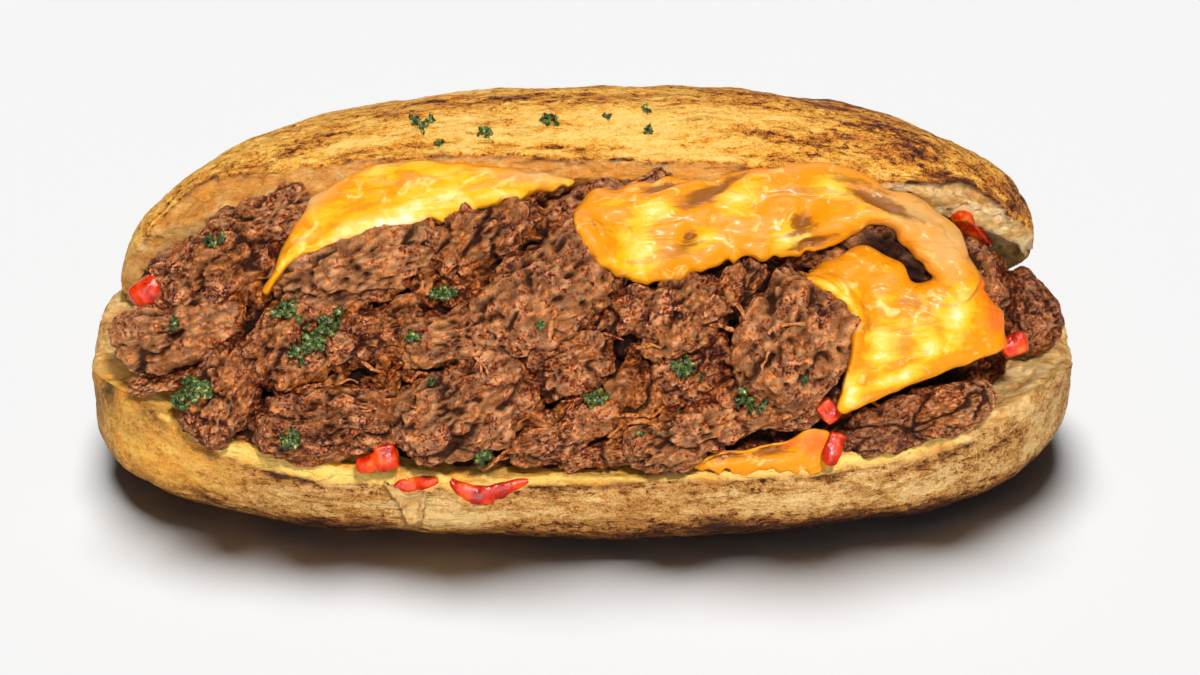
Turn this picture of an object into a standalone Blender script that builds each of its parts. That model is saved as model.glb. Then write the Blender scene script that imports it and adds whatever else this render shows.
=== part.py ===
"""A hot submarine sandwich: a long roll split along its front and hinged at its back, filled with
browned beef, melted cheese, diced red pepper and chopped parsley.

Metres, +Z up. +X runs along the roll, the mouth opens towards -Y, and the origin is on the flat
underside below the middle of the roll.
"""

import math

import bmesh
import bpy
from mathutils import Matrix, Vector, noise
from mathutils.bvhtree import BVHTree

MM = 0.001

# The lower half of the roll
HALF_LENGTH = 103 * MM
HALF_WIDTH = 43 * MM
OUTLINE_POWER = 2.7
OUTLINE_POWER_RIGHT = 2.4
RIM_HEIGHT = 18 * MM
RIM_RISE = 9 * MM
WIDEST_HEIGHT = 10.5 * MM
TIP_RISE = 6 * MM
RIM_INSET = 3 * MM
UNDERSIDE_SAG = 3 * MM
CUT_DISH = 4 * MM

# The upper half, tilted back on the filling
LID_HALF_LENGTH = 96.5 * MM
LID_SHIFT = -1.2 * MM
LID_HALF_WIDTH = 36 * MM
LID_THICKNESS = 28.3 * MM
LID_CENTRE_Y = 14 * MM
LID_CENTRE_Z = 44 * MM
LID_BOW = 3 * MM
LID_HOLLOW = 2 * MM
LID_TILT = math.radians(47.5)
LID_TILT_LEFT = math.radians(56)
LID_TILT_RIGHT = math.radians(52)
LID_DROOP_LEFT = 11 * MM
LID_DROOP_RIGHT = 4 * MM
LID_POWER_LEFT = 2.1
LID_POWER_RIGHT = 2.2
LID_LEAN = 1.3 * MM
LID_FILL = 0.04

# The crust that joins the halves along the back
HINGE_HALF_LENGTH = 74 * MM
HINGE_RADIUS = 7 * MM
HINGE_Y = 36 * MM
HINGE_Z = 20 * MM
HINGE_BEND = 9 * MM

# The filling's face: u along the roll, v up its slope from the front rim, w straight out of it
FACE_SLOPE = math.radians(57)
FACE_BULGE = 8 * MM
FACE_MIDDLE = 30 * MM
FACE_REACH = 38 * MM
FACE_ROUNDING = 0.7

# The filling behind its visible pieces: its cross-section's corners (v, w), from the front rim round
CORE_HALF_LENGTH = 91 * MM
CORE_SECTION = ((1, -5), (16, 1), (31, 3), (46, 0), (58, -5), (54, -31), (44, -57), (34, -59), (17, -37))
CORE_MIDDLE = (34, -25)

FIT_GAP = 0.45 * MM

# The waves of the crust. Without a set seed noise_vector differs from run to run
WAVE = 1.1 * MM
WAVE_LENGTH = 22 * MM
WAVE_SEED = 1795865899

ROLL_STATIONS = 24
CRUST_STEPS = 12
RIM_STEPS = 2
CUT_STEPS = 6
HINGE_STATIONS = 12
HINGE_STEPS = 10
CORE_STATIONS = 14
STRIP_STEPS = 10
STRIP_PARTS = 2

MATERIALS = {
    "crust": ((0.60, 0.30, 0.09), 0.65),
    "beef": ((0.16, 0.05, 0.025), 0.45),
    "cheese": ((0.90, 0.45, 0.02), 0.25),
    "pepper": ((0.70, 0.03, 0.01), 0.2),
    "parsley": ((0.04, 0.09, 0.015), 0.6),
}

# How far each piece of beef sits in, and the length times width above which it gets finer facets
BEEF_SINK = 3
FINE_ABOVE = 125
BEEF_RELIEF = 1.8 * MM

# Each piece of beef: centre u, centre v, lift, half length, half width, half thickness, turn in degrees
BEEF_PIECES = (
    (-65, 53, -3, 13, 5.5, 6, 24),
    (-75, 43, -2, 15, 7.5, 7, 26),
    (-82, 30, -1, 13.5, 7, 7, 16),
    (-73, 17, 0, 11, 7, 7, 62),
    (-85, 20.5, -2, 8.5, 3.2, 4, 20),
    (-44, 44, 0, 18, 8, 7.5, 22),
    (-58, 28, 0, 12, 8, 7, 38),
    (-41, 30, -1, 13, 6, 6, 14),
    (-50, 11.5, 1, 16, 7.5, 7, 6),
    (-21, 50, 0, 12, 8, 7, 34),
    (-7, 37, 2, 16, 10, 8.5, 36),
    (-24, 29, 0, 14, 6, 6.5, 14),
    (-23, 14.5, 2, 16, 9, 8, 30),
    (-3, 23.5, 1, 9, 6, 6.5, 14),
    (-3, 10.5, 0, 12.5, 5.5, 6, 26),
    (5, 5.5, -1, 10, 3.5, 4, 14),
    (9, 35, 0, 7.5, 5, 5.5, 22),
    (20, 33, 1, 10, 8, 7.5, 40),
    (43, 28, 2, 13, 11.5, 8.5, 60),
    (23, 22, 0, 9.5, 5.5, 6, 28),
    (21, 9, 1, 12, 6, 6.5, 24),
    (38, 14.5, -1, 12, 5, 5.5, 12),
    (12, 18, -2, 7, 6, 5, 60),
    (32, 38, -2, 7.5, 5, 5.5, 50),
    (6, 56, -2, 14, 5, 6, 16),
    (60, 46, -3, 15, 9, 7, -20),
    (72, 36, -4, 15, 11, 7, 40),
    (-28, 57, -3, 24, 5, 6, 6),
)

# Chopped parsley that shows from a step away: u, v, half size
PARSLEY_ON_BEEF = (
    (-75, 48.5, 1.6),
    (-83, 32, 1.6),
    (-78, 17.5, 3.2),
    (-59.5, 34.5, 2.2),
    (-53.5, 29.5, 3.6),
    (-58.5, 8, 2.2),
    (-33.5, 29, 1.6),
    (-27, 38, 2.4),
    (3, 17, 2.0),
    (21, 22.8, 2.6),
    (33, 16, 2.2),
)

# Melted cheese: places (u, v) on each strip's two edges, from one end to the other
CHEESE_LEFT = (
    ((-65, 37.6), (-64, 37.0)),
    ((-61, 46.5), (-58.5, 43.5)),
    ((-54, 58), (-47, 48)),
    ((-40, 64), (-31, 51.5)),
    ((-24, 64.7), (-22.5, 54)),
    ((-10.4, 62.6), (-11.5, 57)),
    ((-0.6, 61), (-0.8, 60.2)),
)
CHEESE_UPPER = (
    ((-2, 54.4), (-1.4, 49.5)),
    ((4, 58.5), (4.5, 42)),
    ((16, 61), (15.5, 39.4)),
    ((32, 61.8), (31, 44)),
    ((50, 64.4), (47, 45.8)),
    ((64, 59), (61, 51)),
    ((76, 54.5), (68.5, 44.5)),
    ((84, 40), (77, 34)),
)
CHEESE_LOWER = (
    ((44.8, 40.5), (45.4, 39.5)),
    ((54, 46.5), (53, 34)),
    ((63, 45), (54.5, 26)),
    ((69, 40), (53, 18.5)),
    ((80.5, 42), (53, 13)),
    ((86.5, 33), (66, 18.5)),
    ((88, 27.5), (86, 25.8)),
)
CHEESE_FRONT = (
    ((24, 3.3), (24.7, 1.6)),
    ((42.7, 7), (42.7, 1.6)),
    ((52.5, 7), (53, 2.5)),
)

# Each piece of red pepper: u, v, lift, half length, half width, half thickness, turn in degrees
PEPPER_PIECES = (
    (-88.5, 38, -1, 3.8, 3.0, 3.2, 20),
    (-41, 4.5, 1.5, 4.8, 3.0, 2.8, 10),
    (50, 13.5, 1, 2.6, 2.4, 2.4, 40),
    (51, 6, 0, 2.0, 3.6, 2.6, -10),
    (89.4, 27.4, 1, 2.4, 2.2, 2.4, 0),
    (-33, -1.3, -2.5, 4.2, 1.1, 1.2, 4),
    (-19.5, -2.4, -2.5, 6.4, 1.7, 1.4, -3),
)

# Chopped parsley on the upper crust: place along the roll, degrees up from the front edge, half size
PARSLEY_ON_CRUST = ((-33, 20, 2.2), (-20, 18, 1.8), (-7.5, 21, 2.2), (13.5, 17, 1.7))


def share(position, power):
    """How wide a rounded end still is: 1 in the middle, 0 at its tip."""
    return max(0.0, 1 - min(1.0, abs(position)) ** power) ** (1 / power)


def signed_power(value, power):
    return math.copysign(abs(value) ** power, value)


def stations(count):
    """Places from one end to the other, closer together at the ends, without the two tips."""
    return [-math.cos(math.pi * (i + 0.6) / (count + 0.2)) for i in range(count)]


def on_face(u, v, w):
    """The point at u, v and w of the filling's sloping face."""
    along = Vector((0, math.cos(FACE_SLOPE), math.sin(FACE_SLOPE)))
    out = Vector((0, -math.sin(FACE_SLOPE), math.cos(FACE_SLOPE)))
    return Vector((u, -HALF_WIDTH + RIM_INSET, RIM_HEIGHT)) + v * along + w * out


def face_height(u, v):
    """How far out the filling swells at u and v, falling back where the roll rounds off."""
    swell = FACE_BULGE * (1 - ((v - FACE_MIDDLE) / FACE_REACH) ** 2)
    return swell - FACE_ROUNDING * HALF_WIDTH * (1 - share(u / HALF_LENGTH, OUTLINE_POWER))


def mesh_object(name, mesh_data, material):
    mesh = bpy.data.meshes.new(name)
    mesh_data.to_mesh(mesh)
    mesh_data.free()
    item = bpy.data.objects.new(name, mesh)
    bpy.context.scene.collection.objects.link(item)
    mesh.materials.append(material_for(material))
    return item


def face_outward(data):
    bmesh.ops.recalc_face_normals(data, faces=data.faces)
    if data.calc_volume(signed=True) < 0:
        bmesh.ops.reverse_faces(data, faces=data.faces)


def material_for(name):
    if name in bpy.data.materials:
        return bpy.data.materials[name]
    colour, roughness = MATERIALS[name]
    material = bpy.data.materials.new(name)
    material.use_nodes = True
    shader = material.node_tree.nodes["Principled BSDF"]
    shader.inputs["Base Color"].default_value = (*colour, 1)
    shader.inputs["Roughness"].default_value = roughness
    shader.inputs["Metallic"].default_value = 0
    return material


def skin(name, rings, first_tip, last_tip, material, grow=0.0):
    """A closed solid through rings of points, ending in a point at each end."""
    data = bmesh.new()
    grid = [[data.verts.new(point) for point in ring] for ring in rings]
    count = len(rings[0])
    for ring, following in zip(grid, grid[1:]):
        for i in range(count):
            j = (i + 1) % count
            data.faces.new((ring[i], ring[j], following[j], following[i]))
    for tip_point, ring in ((first_tip, grid[0]), (last_tip, grid[-1])):
        tip = data.verts.new(tip_point)
        for i in range(count):
            data.faces.new((ring[i], ring[(i + 1) % count], tip))
    bmesh.ops.triangulate(data, faces=[face for face in data.faces if len(face.verts) > 3])
    face_outward(data)
    swell(data, grow)
    return mesh_object(name, data, material)


def knead(points):
    """Gives baked bread's slight waves to a ring of points, keeping flat what lies on the ground."""
    kneaded = []
    for point in points:
        spot = Vector(point)
        moved = spot + WAVE * noise.noise_vector(spot / WAVE_LENGTH)
        moved.z = max(0.0, moved.z) if spot.z > 0 else 0.0
        kneaded.append(moved)
    return kneaded


def heel_ring(x):
    """One cross-section of the roll's lower half: up and down its crust, then back over its cut."""
    part = x / HALF_LENGTH
    half = HALF_WIDTH * share(part, OUTLINE_POWER if part < 0 else OUTLINE_POWER_RIGHT)
    widest = WIDEST_HEIGHT + TIP_RISE * part**4
    rim = widest + (RIM_HEIGHT - WIDEST_HEIGHT + RIM_RISE * part**2) * share(part, 5)
    depth = (widest + UNDERSIDE_SAG) * share(part, 3.4)
    inset = RIM_INSET * share(part, 2)
    points = []
    for i in range(RIM_STEPS, 0, -1):
        up = i / RIM_STEPS
        points.append((x, -half + inset * up**2, widest + (rim - widest) * up))
    for i in range(CRUST_STEPS + 1):
        turn = math.pi * i / CRUST_STEPS
        y = -half * signed_power(math.cos(turn), 0.72)
        points.append((x, y, max(0.0, widest - depth * math.sin(turn) ** 0.72)))
    for i in range(1, RIM_STEPS + 1):
        up = i / RIM_STEPS
        points.append((x, half - inset * up**2, widest + (rim - widest) * up))
    for i in range(1, CUT_STEPS):
        across = 1 - 2 * i / CUT_STEPS
        dish = CUT_DISH * (1 - across**2) * share(part, 3)
        points.append((x, across * (half - inset), rim - dish))
    return points


def lid_frame(x):
    """The middle of the lid's cut at x, with the ways to its front edge and to its crust."""
    part = (x - LID_SHIFT) / LID_HALF_LENGTH
    tilt_end = LID_TILT_LEFT if x < 0 else LID_TILT_RIGHT
    droop = LID_DROOP_LEFT if x < 0 else LID_DROOP_RIGHT
    tilt = LID_TILT + (tilt_end - LID_TILT) * part**2
    height = LID_CENTRE_Z + LID_LEAN * part - droop * abs(part) ** 3.5
    middle = Vector((x, LID_CENTRE_Y - LID_BOW * part**2, height))
    to_front = Vector((0, -math.cos(tilt), math.sin(tilt)))
    to_crust = Vector((0, math.sin(tilt), math.cos(tilt)))
    return middle, to_front, to_crust


def lid_ring(x):
    part = (x - LID_SHIFT) / LID_HALF_LENGTH
    half = LID_HALF_WIDTH * share(part, OUTLINE_POWER)
    thick = LID_THICKNESS * share(part, LID_POWER_LEFT if part < 0 else LID_POWER_RIGHT)
    thick *= 1 + LID_FILL * part
    middle, to_front, to_crust = lid_frame(x)
    points = []
    for i in range(CRUST_STEPS + 1):
        turn = math.pi * i / CRUST_STEPS
        along = half * signed_power(math.cos(turn), 0.8)
        points.append(middle + along * to_front + thick * math.sin(turn) ** 0.75 * to_crust)
    for i in range(1, CUT_STEPS):
        across = -1 + 2 * i / CUT_STEPS
        hollow = LID_HOLLOW * (1 - across**2) * share(part, 3)
        points.append(middle + across * half * to_front + hollow * to_crust)
    return points


def hinge_ring(x):
    part = x / HINGE_HALF_LENGTH
    radius = HINGE_RADIUS * share(part, 3)
    points = []
    for i in range(HINGE_STEPS):
        turn = 2 * math.pi * i / HINGE_STEPS
        y = HINGE_Y - HINGE_BEND * part**4 + radius * math.cos(turn)
        points.append((x, y, HINGE_Z + 1.3 * radius * math.sin(turn)))
    return points


def make_roll():
    """Both halves and the crust that joins them, as one solid."""
    spots = stations(ROLL_STATIONS)
    heel = skin(
        "roll",
        [knead(heel_ring(s * HALF_LENGTH)) for s in spots],
        (-HALF_LENGTH, 0, WIDEST_HEIGHT + TIP_RISE),
        (HALF_LENGTH, 0, WIDEST_HEIGHT + TIP_RISE),
        "crust",
    )
    lid = skin(
        "lid",
        [knead(lid_ring(s * LID_HALF_LENGTH + LID_SHIFT)) for s in spots],
        lid_frame(-LID_HALF_LENGTH + LID_SHIFT)[0],
        lid_frame(LID_HALF_LENGTH + LID_SHIFT)[0],
        "crust",
    )
    hinge = skin(
        "hinge",
        [hinge_ring(s * HINGE_HALF_LENGTH) for s in stations(HINGE_STATIONS)],
        (-HINGE_HALF_LENGTH, HINGE_Y - HINGE_BEND, HINGE_Z),
        (HINGE_HALF_LENGTH, HINGE_Y - HINGE_BEND, HINGE_Z),
        "crust",
    )
    combine(heel, [lid, hinge], "UNION")
    return heel


def combine(target, others, operation):
    """Joins others to target or cuts them from it, applies that, and removes them."""
    group = bpy.data.collections.new("operands")
    bpy.context.scene.collection.children.link(group)
    for other in others:
        bpy.context.scene.collection.objects.unlink(other)
        group.objects.link(other)
    modifier = target.modifiers.new("combine", "BOOLEAN")
    modifier.operation = operation
    modifier.operand_type = "COLLECTION"
    modifier.collection = group
    modifier.solver = "MANIFOLD"
    bpy.context.view_layer.update()
    graph = bpy.context.evaluated_depsgraph_get()
    made = bpy.data.meshes.new_from_object(target.evaluated_get(graph))
    target.modifiers.clear()
    material = target.data.materials[0]
    made.materials.clear()
    made.materials.append(material)
    for polygon in made.polygons:
        polygon.material_index = 0
    target.data = made
    for other in others:
        bpy.data.objects.remove(other)
    bpy.data.collections.remove(group)


def keep_largest_body(item):
    """Drops the loose scraps that a cut leaves."""
    data = bmesh.new()
    data.from_mesh(item.data)
    bmesh.ops.remove_doubles(data, verts=data.verts, dist=0.001 * MM)
    left = set(data.verts)
    bodies = []
    while left:
        body = {left.pop()}
        edge_of_body = list(body)
        while edge_of_body:
            for edge in edge_of_body.pop().link_edges:
                for vert in edge.verts:
                    if vert in left:
                        left.remove(vert)
                        body.add(vert)
                        edge_of_body.append(vert)
        bodies.append(body)
    bodies.sort(key=len)
    for body in bodies[:-1]:
        bmesh.ops.delete(data, geom=list(body), context="VERTS")
    data.to_mesh(item.data)
    data.free()


def lump(name, place, half_sizes, seed, relief, material, detail=3, grow=0.0):
    """A craggy rounded piece. place turns and moves it, and grow swells it for a cut with clearance."""
    data = bmesh.new()
    bmesh.ops.create_icosphere(data, subdivisions=detail, radius=1)
    shift = Vector((seed * 7.31, seed * 3.17, seed * 5.73))
    for vert in data.verts:
        way = vert.co.normalized()
        boxy = max(abs(c) for c in way) ** -0.35
        point = Vector(w * h * boxy for w, h in zip(way, half_sizes))
        bump = noise.noise(point / (9 * MM) + shift) + 0.5 * noise.noise(point / (4 * MM) + shift)
        vert.co = point + way * relief * bump
    swell(data, grow)
    data.transform(place)
    return mesh_object(name, data, material)


def face_place(u, v, w, turn):
    """A frame on the filling's face: its x along the piece, its z straight out."""
    tilt = Matrix.Rotation(FACE_SLOPE, 4, "X")
    return Matrix.Translation(on_face(u, v, w)) @ tilt @ Matrix.Rotation(math.radians(turn), 4, "Z")


def beef_piece(index, grow=0.0):
    u, v, lift, length, width, thick, turn = BEEF_PIECES[index]
    height = face_height(u * MM, v * MM) + (lift - BEEF_SINK) * MM
    sizes = (length * MM, width * MM, thick * MM)
    detail = 3 if length * width > FINE_ABOVE else 2
    place = face_place(u * MM, v * MM, height, turn)
    return lump(f"beef_{index}", place, sizes, index + 1, BEEF_RELIEF, "beef", detail, grow)


def pepper_parts(grow=0.0):
    parts = []
    for index, (u, v, lift, length, width, thick, turn) in enumerate(PEPPER_PIECES):
        height = face_height(u * MM, v * MM) + lift * MM
        place = face_place(u * MM, v * MM, height, turn)
        sizes = (length * MM, width * MM, thick * MM)
        parts.append(lump(f"pepper_{index + 1}", place, sizes, 60 + index, 0.5 * MM, "pepper", 2, grow))
    parts.append(pepper_on_lid(grow))
    return parts


def pepper_on_lid(grow=0.0):
    """The strip of pepper that sticks to the lid's cut near its right end."""
    ends = []
    for x, across in ((78, 0.8), (85, 0.25)):
        middle, to_front, to_crust = lid_frame(x * MM)
        half = LID_HALF_WIDTH * share((x * MM - LID_SHIFT) / LID_HALF_LENGTH, OUTLINE_POWER)
        ends.append(middle + across * half * to_front - 0.5 * MM * to_crust)
    along = (ends[1] - ends[0]).normalized()
    side = along.cross(to_crust).normalized()
    turn = Matrix((along, side, along.cross(side))).transposed().to_4x4()
    place = Matrix.Translation((ends[0] + ends[1]) / 2) @ turn
    length = (ends[1] - ends[0]).length / 2
    return lump("pepper_8", place, (length, 1.9 * MM, 1.4 * MM), 68, 0.4 * MM, "pepper", 2, grow)


def leaf(place, size):
    """A scrap of parsley: a thin plate with a ragged edge."""
    data = bmesh.new()
    rim = []
    for i in range(8):
        turn = 2 * math.pi * i / 8
        reach = size * (1.0 if i % 2 else 0.62)
        rim.append((reach * math.cos(turn), 0.75 * reach * math.sin(turn)))
    sides = [[data.verts.new((x, y, z)) for x, y in rim] for z in (-0.5 * MM, 0.5 * MM)]
    for ring in sides:
        data.faces.new(ring)
    for i in range(8):
        j = (i + 1) % 8
        data.faces.new((sides[0][i], sides[0][j], sides[1][j], sides[1][i]))
    bmesh.ops.triangulate(data, faces=data.faces)
    face_outward(data)
    data.transform(place)
    return mesh_object("leaf", data, "parsley")


def settle(surface, start, way, turn):
    """A frame on the first point of surface that a ray meets, its z along the surface's normal."""
    tree = BVHTree.FromPolygons(
        [v.co.copy() for v in surface.data.vertices], [list(p.vertices) for p in surface.data.polygons]
    )
    spot, normal, _, _ = tree.ray_cast(start, way)
    lean = (normal - 0.6 * way).normalized()
    turned = lean.to_track_quat("Z", "Y").to_matrix().to_4x4()
    return Matrix.Translation(spot) @ turned @ Matrix.Rotation(turn, 4, "Z")


def parsley_on_beef(heap):
    way = on_face(0, 0, 0) - on_face(0, 0, 1)
    leaves = []
    for index, (u, v, size) in enumerate(PARSLEY_ON_BEEF):
        start = on_face(u * MM, v * MM, 60 * MM)
        leaves.append(leaf(settle(heap, start, way, index), size * MM))
    return leaves


def parsley_on_crust(roll):
    leaves = []
    for index, (x, degrees, size) in enumerate(PARSLEY_ON_CRUST):
        middle, to_front, to_crust = lid_frame(x * MM)
        turn = math.radians(degrees)
        out = math.cos(turn) * to_front + math.sin(turn) * to_crust
        start = middle + 60 * MM * out
        leaves.append(leaf(settle(roll, start, -out, index + 0.5), size * MM))
    return leaves


def crust_flap():
    """The torn flap of crust below the front rim."""
    place = face_place(-34 * MM, -6 * MM, -0.8 * MM, 70)
    return lump("flap", place, (4.5 * MM, 2.4 * MM, 1.6 * MM), 80, 0.6 * MM, "crust", 2)


def steak_strip(grow=0.0):
    """The flat-ended strip of beef that lies behind the front rim on the right."""
    height = face_height(69 * MM, 12 * MM) - 6 * MM
    place = face_place(69 * MM, 12 * MM, height, 17)
    return lump("steak_strip", place, (17 * MM, 6 * MM, 6.5 * MM), 40, 1.2 * MM, "beef", 3, grow)


def steak_end(grow=0.0):
    """The browned end of beef over the right tip of the roll."""
    place = face_place(92.5 * MM, 34 * MM, -24 * MM, -55)
    return lump("steak_end", place, (9.5 * MM, 7.5 * MM, 8 * MM), 41, 1.2 * MM, "beef", 3, grow)


def core_ring(x):
    """A cross-section of the filling behind its visible pieces, wedged between the two cuts."""
    part = x / CORE_HALF_LENGTH
    size = share(part, 3)
    back = 0.6 * FACE_ROUNDING * HALF_WIDTH * (1 - share(x / HALF_LENGTH, OUTLINE_POWER))
    middle = Vector(CORE_MIDDLE)
    points = []
    for v, w in CORE_SECTION:
        spot = middle + (Vector((v, w)) - middle) * size
        points.append(on_face(x, spot.x * MM, spot.y * MM - back))
    return points


def make_core(name, grow=0.0):
    rings = [core_ring(s * CORE_HALF_LENGTH) for s in stations(CORE_STATIONS)]
    ends = [on_face(side * CORE_HALF_LENGTH, 32 * MM, -30 * MM) for side in (-1, 1)]
    return skin(name, rings, ends[0], ends[1], "beef", grow)


def swell(data, grow):
    """Moves every vertex out along its normal."""
    if not grow:
        return
    data.normal_update()
    for vert, normal in [(v, v.normal.copy()) for v in data.verts]:
        vert.co += normal * grow


def between(places, parts):
    """Adds smooth steps between the given places."""
    path = []
    last = len(places) - 1
    for i in range(last):
        before, start, end, after = (Vector(places[min(max(k, 0), last)]) for k in (i - 1, i, i + 1, i + 2))
        for step in range(parts):
            t = step / parts
            bend = t * (end - before) + t**2 * (2 * before - 5 * start + 4 * end - after)
            path.append(start + 0.5 * (bend + t**3 * (3 * start - before - 3 * end + after)))
    return path + [Vector(places[last])]


def strip(name, edges, lift, thick, grow=0.0):
    """A strip of melted cheese between two edges, bent to the filling's face."""
    near = between([pair[0] for pair in edges], STRIP_PARTS)
    far = between([pair[1] for pair in edges], STRIP_PARTS)
    rings = []
    for start, end in zip(near[1:-1], far[1:-1]):
        ring = []
        for i in range(STRIP_STEPS):
            turn = 2 * math.pi * i / STRIP_STEPS
            u, v = start.lerp(end, 0.5 - 0.5 * signed_power(math.cos(turn), 0.7)) * MM
            height = face_height(u, v) + lift + thick * signed_power(math.sin(turn), 0.7)
            ring.append(on_face(u, v, height))
        rings.append(ring)
    tips = []
    for i in (0, -1):
        u, v = near[i].lerp(far[i], 0.5) * MM
        tips.append(on_face(u, v, face_height(u, v) + lift))
    return skin(name, rings, tips[0], tips[1], "cheese", grow)


def cheese_parts(grow=0.0):
    left = strip("cheese_left", CHEESE_LEFT, 0.5 * MM, 4 * MM, grow)
    right = strip("cheese_right", CHEESE_UPPER, 1.5 * MM, 5 * MM, grow)
    lower = strip("cheese_lower", CHEESE_LOWER, 0.5 * MM, 5 * MM, grow)
    front = strip("cheese_front", CHEESE_FRONT, -2.5 * MM, 3 * MM, grow)
    combine(right, [lower], "UNION")
    return [left, right, front]


def beef_parts(grow=0.0):
    return [make_core("core", grow)] + [beef_piece(i, grow) for i in range(len(BEEF_PIECES))]


def main():
    for item in list(bpy.data.objects):
        bpy.data.objects.remove(item)
    noise.seed_set(WAVE_SEED)
    roll = make_roll()
    cheese = cheese_parts()
    beef = beef_parts()
    heap = beef[0]
    heap.name = "steak_heap"
    combine(heap, beef[1:], "UNION")
    combine(heap, parsley_on_beef(heap), "UNION")
    peppers = pepper_parts()
    strip_piece = steak_strip()
    end_piece = steak_end()
    combine(roll, [crust_flap()] + parsley_on_crust(roll), "UNION")
    for item in [heap, strip_piece, end_piece, roll] + cheese:
        combine(item, pepper_parts(FIT_GAP), "DIFFERENCE")
    for item in (heap, strip_piece, end_piece, roll):
        combine(item, cheese_parts(FIT_GAP), "DIFFERENCE")
    for item in (heap, roll):
        combine(item, [steak_strip(FIT_GAP), steak_end(FIT_GAP)], "DIFFERENCE")
    combine(roll, beef_parts(FIT_GAP), "DIFFERENCE")
    for item in [heap, roll, strip_piece, end_piece] + cheese:
        keep_largest_body(item)


if __name__ == "__main__":
    main()
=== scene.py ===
import itertools
import math
import random

import bmesh
import bpy
import numpy as np
from mathutils import Euler, Matrix, Vector, noise
from mathutils.bvhtree import BVHTree


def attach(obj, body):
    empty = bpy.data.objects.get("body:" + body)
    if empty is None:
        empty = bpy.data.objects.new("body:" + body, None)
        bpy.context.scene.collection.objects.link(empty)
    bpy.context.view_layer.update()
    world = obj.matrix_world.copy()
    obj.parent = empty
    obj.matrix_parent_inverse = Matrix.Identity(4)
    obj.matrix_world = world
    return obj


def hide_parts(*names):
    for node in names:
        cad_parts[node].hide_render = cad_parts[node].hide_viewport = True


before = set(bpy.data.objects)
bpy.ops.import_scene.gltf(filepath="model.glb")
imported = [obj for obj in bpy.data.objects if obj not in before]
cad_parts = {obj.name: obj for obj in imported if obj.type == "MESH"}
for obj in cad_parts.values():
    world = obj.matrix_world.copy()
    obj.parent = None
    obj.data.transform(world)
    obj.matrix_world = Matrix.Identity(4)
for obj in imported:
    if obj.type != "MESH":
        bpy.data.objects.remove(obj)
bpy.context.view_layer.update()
mm = 0.001
scene = bpy.context.scene

# sizes that several pieces share: +X runs along the roll, and the mouth opens towards -Y
rollSizes = {
    "halfLength": 103 * mm, "halfWidth": 43 * mm, "outline": 2.7, "outlineRight": 2.4,
    "rimHeight": 18 * mm, "rimRise": 9 * mm, "widestHeight": 10.5 * mm, "tipRise": 6 * mm,
    "rimInset": 3 * mm, "sag": 3 * mm, "cutDish": 4 * mm,
    "wave": 1.1 * mm, "waveLength": 22 * mm, "waveSeed": 1795865899, "farFromEdge": 40 * mm,
}
lidSizes = {
    "halfLength": 96.5 * mm, "shift": -1.2 * mm, "halfWidth": 36 * mm, "thickness": 28.3 * mm,
    "centreY": 14 * mm, "centreZ": 44 * mm, "bow": 3 * mm, "hollow": 2 * mm,
    "tilt": 47.5, "tiltLeft": 56, "tiltRight": 52, "droopLeft": 11 * mm, "droopRight": 4 * mm,
    "powerLeft": 2.1, "powerRight": 2.2, "lean": 1.3 * mm, "fill": 0.04,
}
foldSizes = {
    "halfLength": 74 * mm, "radius": 7 * mm, "y": 36 * mm, "z": 20 * mm, "bend": 9 * mm, "stations": 150,
}
faceSizes = {"slope": 57, "bulge": 8 * mm, "middle": 30 * mm, "reach": 38 * mm, "rounding": 0.7}

slopeAngle = math.radians(faceSizes["slope"])
upFace = Vector((0, math.cos(slopeAngle), math.sin(slopeAngle)))
outOfFace = Vector((0, -math.sin(slopeAngle), math.cos(slopeAngle)))
faceStart = Vector((0, -rollSizes["halfWidth"] + rollSizes["rimInset"], rollSizes["rimHeight"]))


def share(position, power):  # 1 in the middle of a rounded end, 0 at its tip
    return max(0.0, 1 - min(1.0, abs(position)) ** power) ** (1 / power)


def signedPower(value, power):
    return math.copysign(abs(value) ** power, value)


def evenly(start, end, count):
    return [start + (end - start) * i / (count - 1) for i in range(count)]


def smoothStep(low, high, value):
    t = np.clip((value - low) / (high - low), 0, 1)
    return t * t * (3 - 2 * t)


def endSpots(count):  # from one end to the other, closer together at the ends
    return [-math.cos(math.pi * (i + 0.6) / (count + 0.2)) for i in range(count)]


def onFace(u, v, w):  # u along the roll, v up the filling's slope, w straight out of it
    return faceStart + Vector((u, 0, 0)) + v * upFace + w * outOfFace


def faceHeight(u, v):
    swell = faceSizes["bulge"] * (1 - ((v - faceSizes["middle"]) / faceSizes["reach"]) ** 2)
    ending = 1 - share(u / rollSizes["halfLength"], rollSizes["outline"])
    return swell - faceSizes["rounding"] * rollSizes["halfWidth"] * ending


def facePlace(u, v, w, turn):
    tilt = Matrix.Rotation(slopeAngle, 4, "X")
    return Matrix.Translation(onFace(u, v, w)) @ tilt @ Matrix.Rotation(math.radians(turn), 4, "Z")


def onFilling(u, v, lift, turn):  # a place on the filling's face, in mm and degrees
    return facePlace(u * mm, v * mm, faceHeight(u * mm, v * mm) + lift * mm, turn)


def faceCoordinates(points):
    away = points - np.array(faceStart)
    return points[:, 0], away @ np.array(upFace), away @ np.array(outOfFace)


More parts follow.
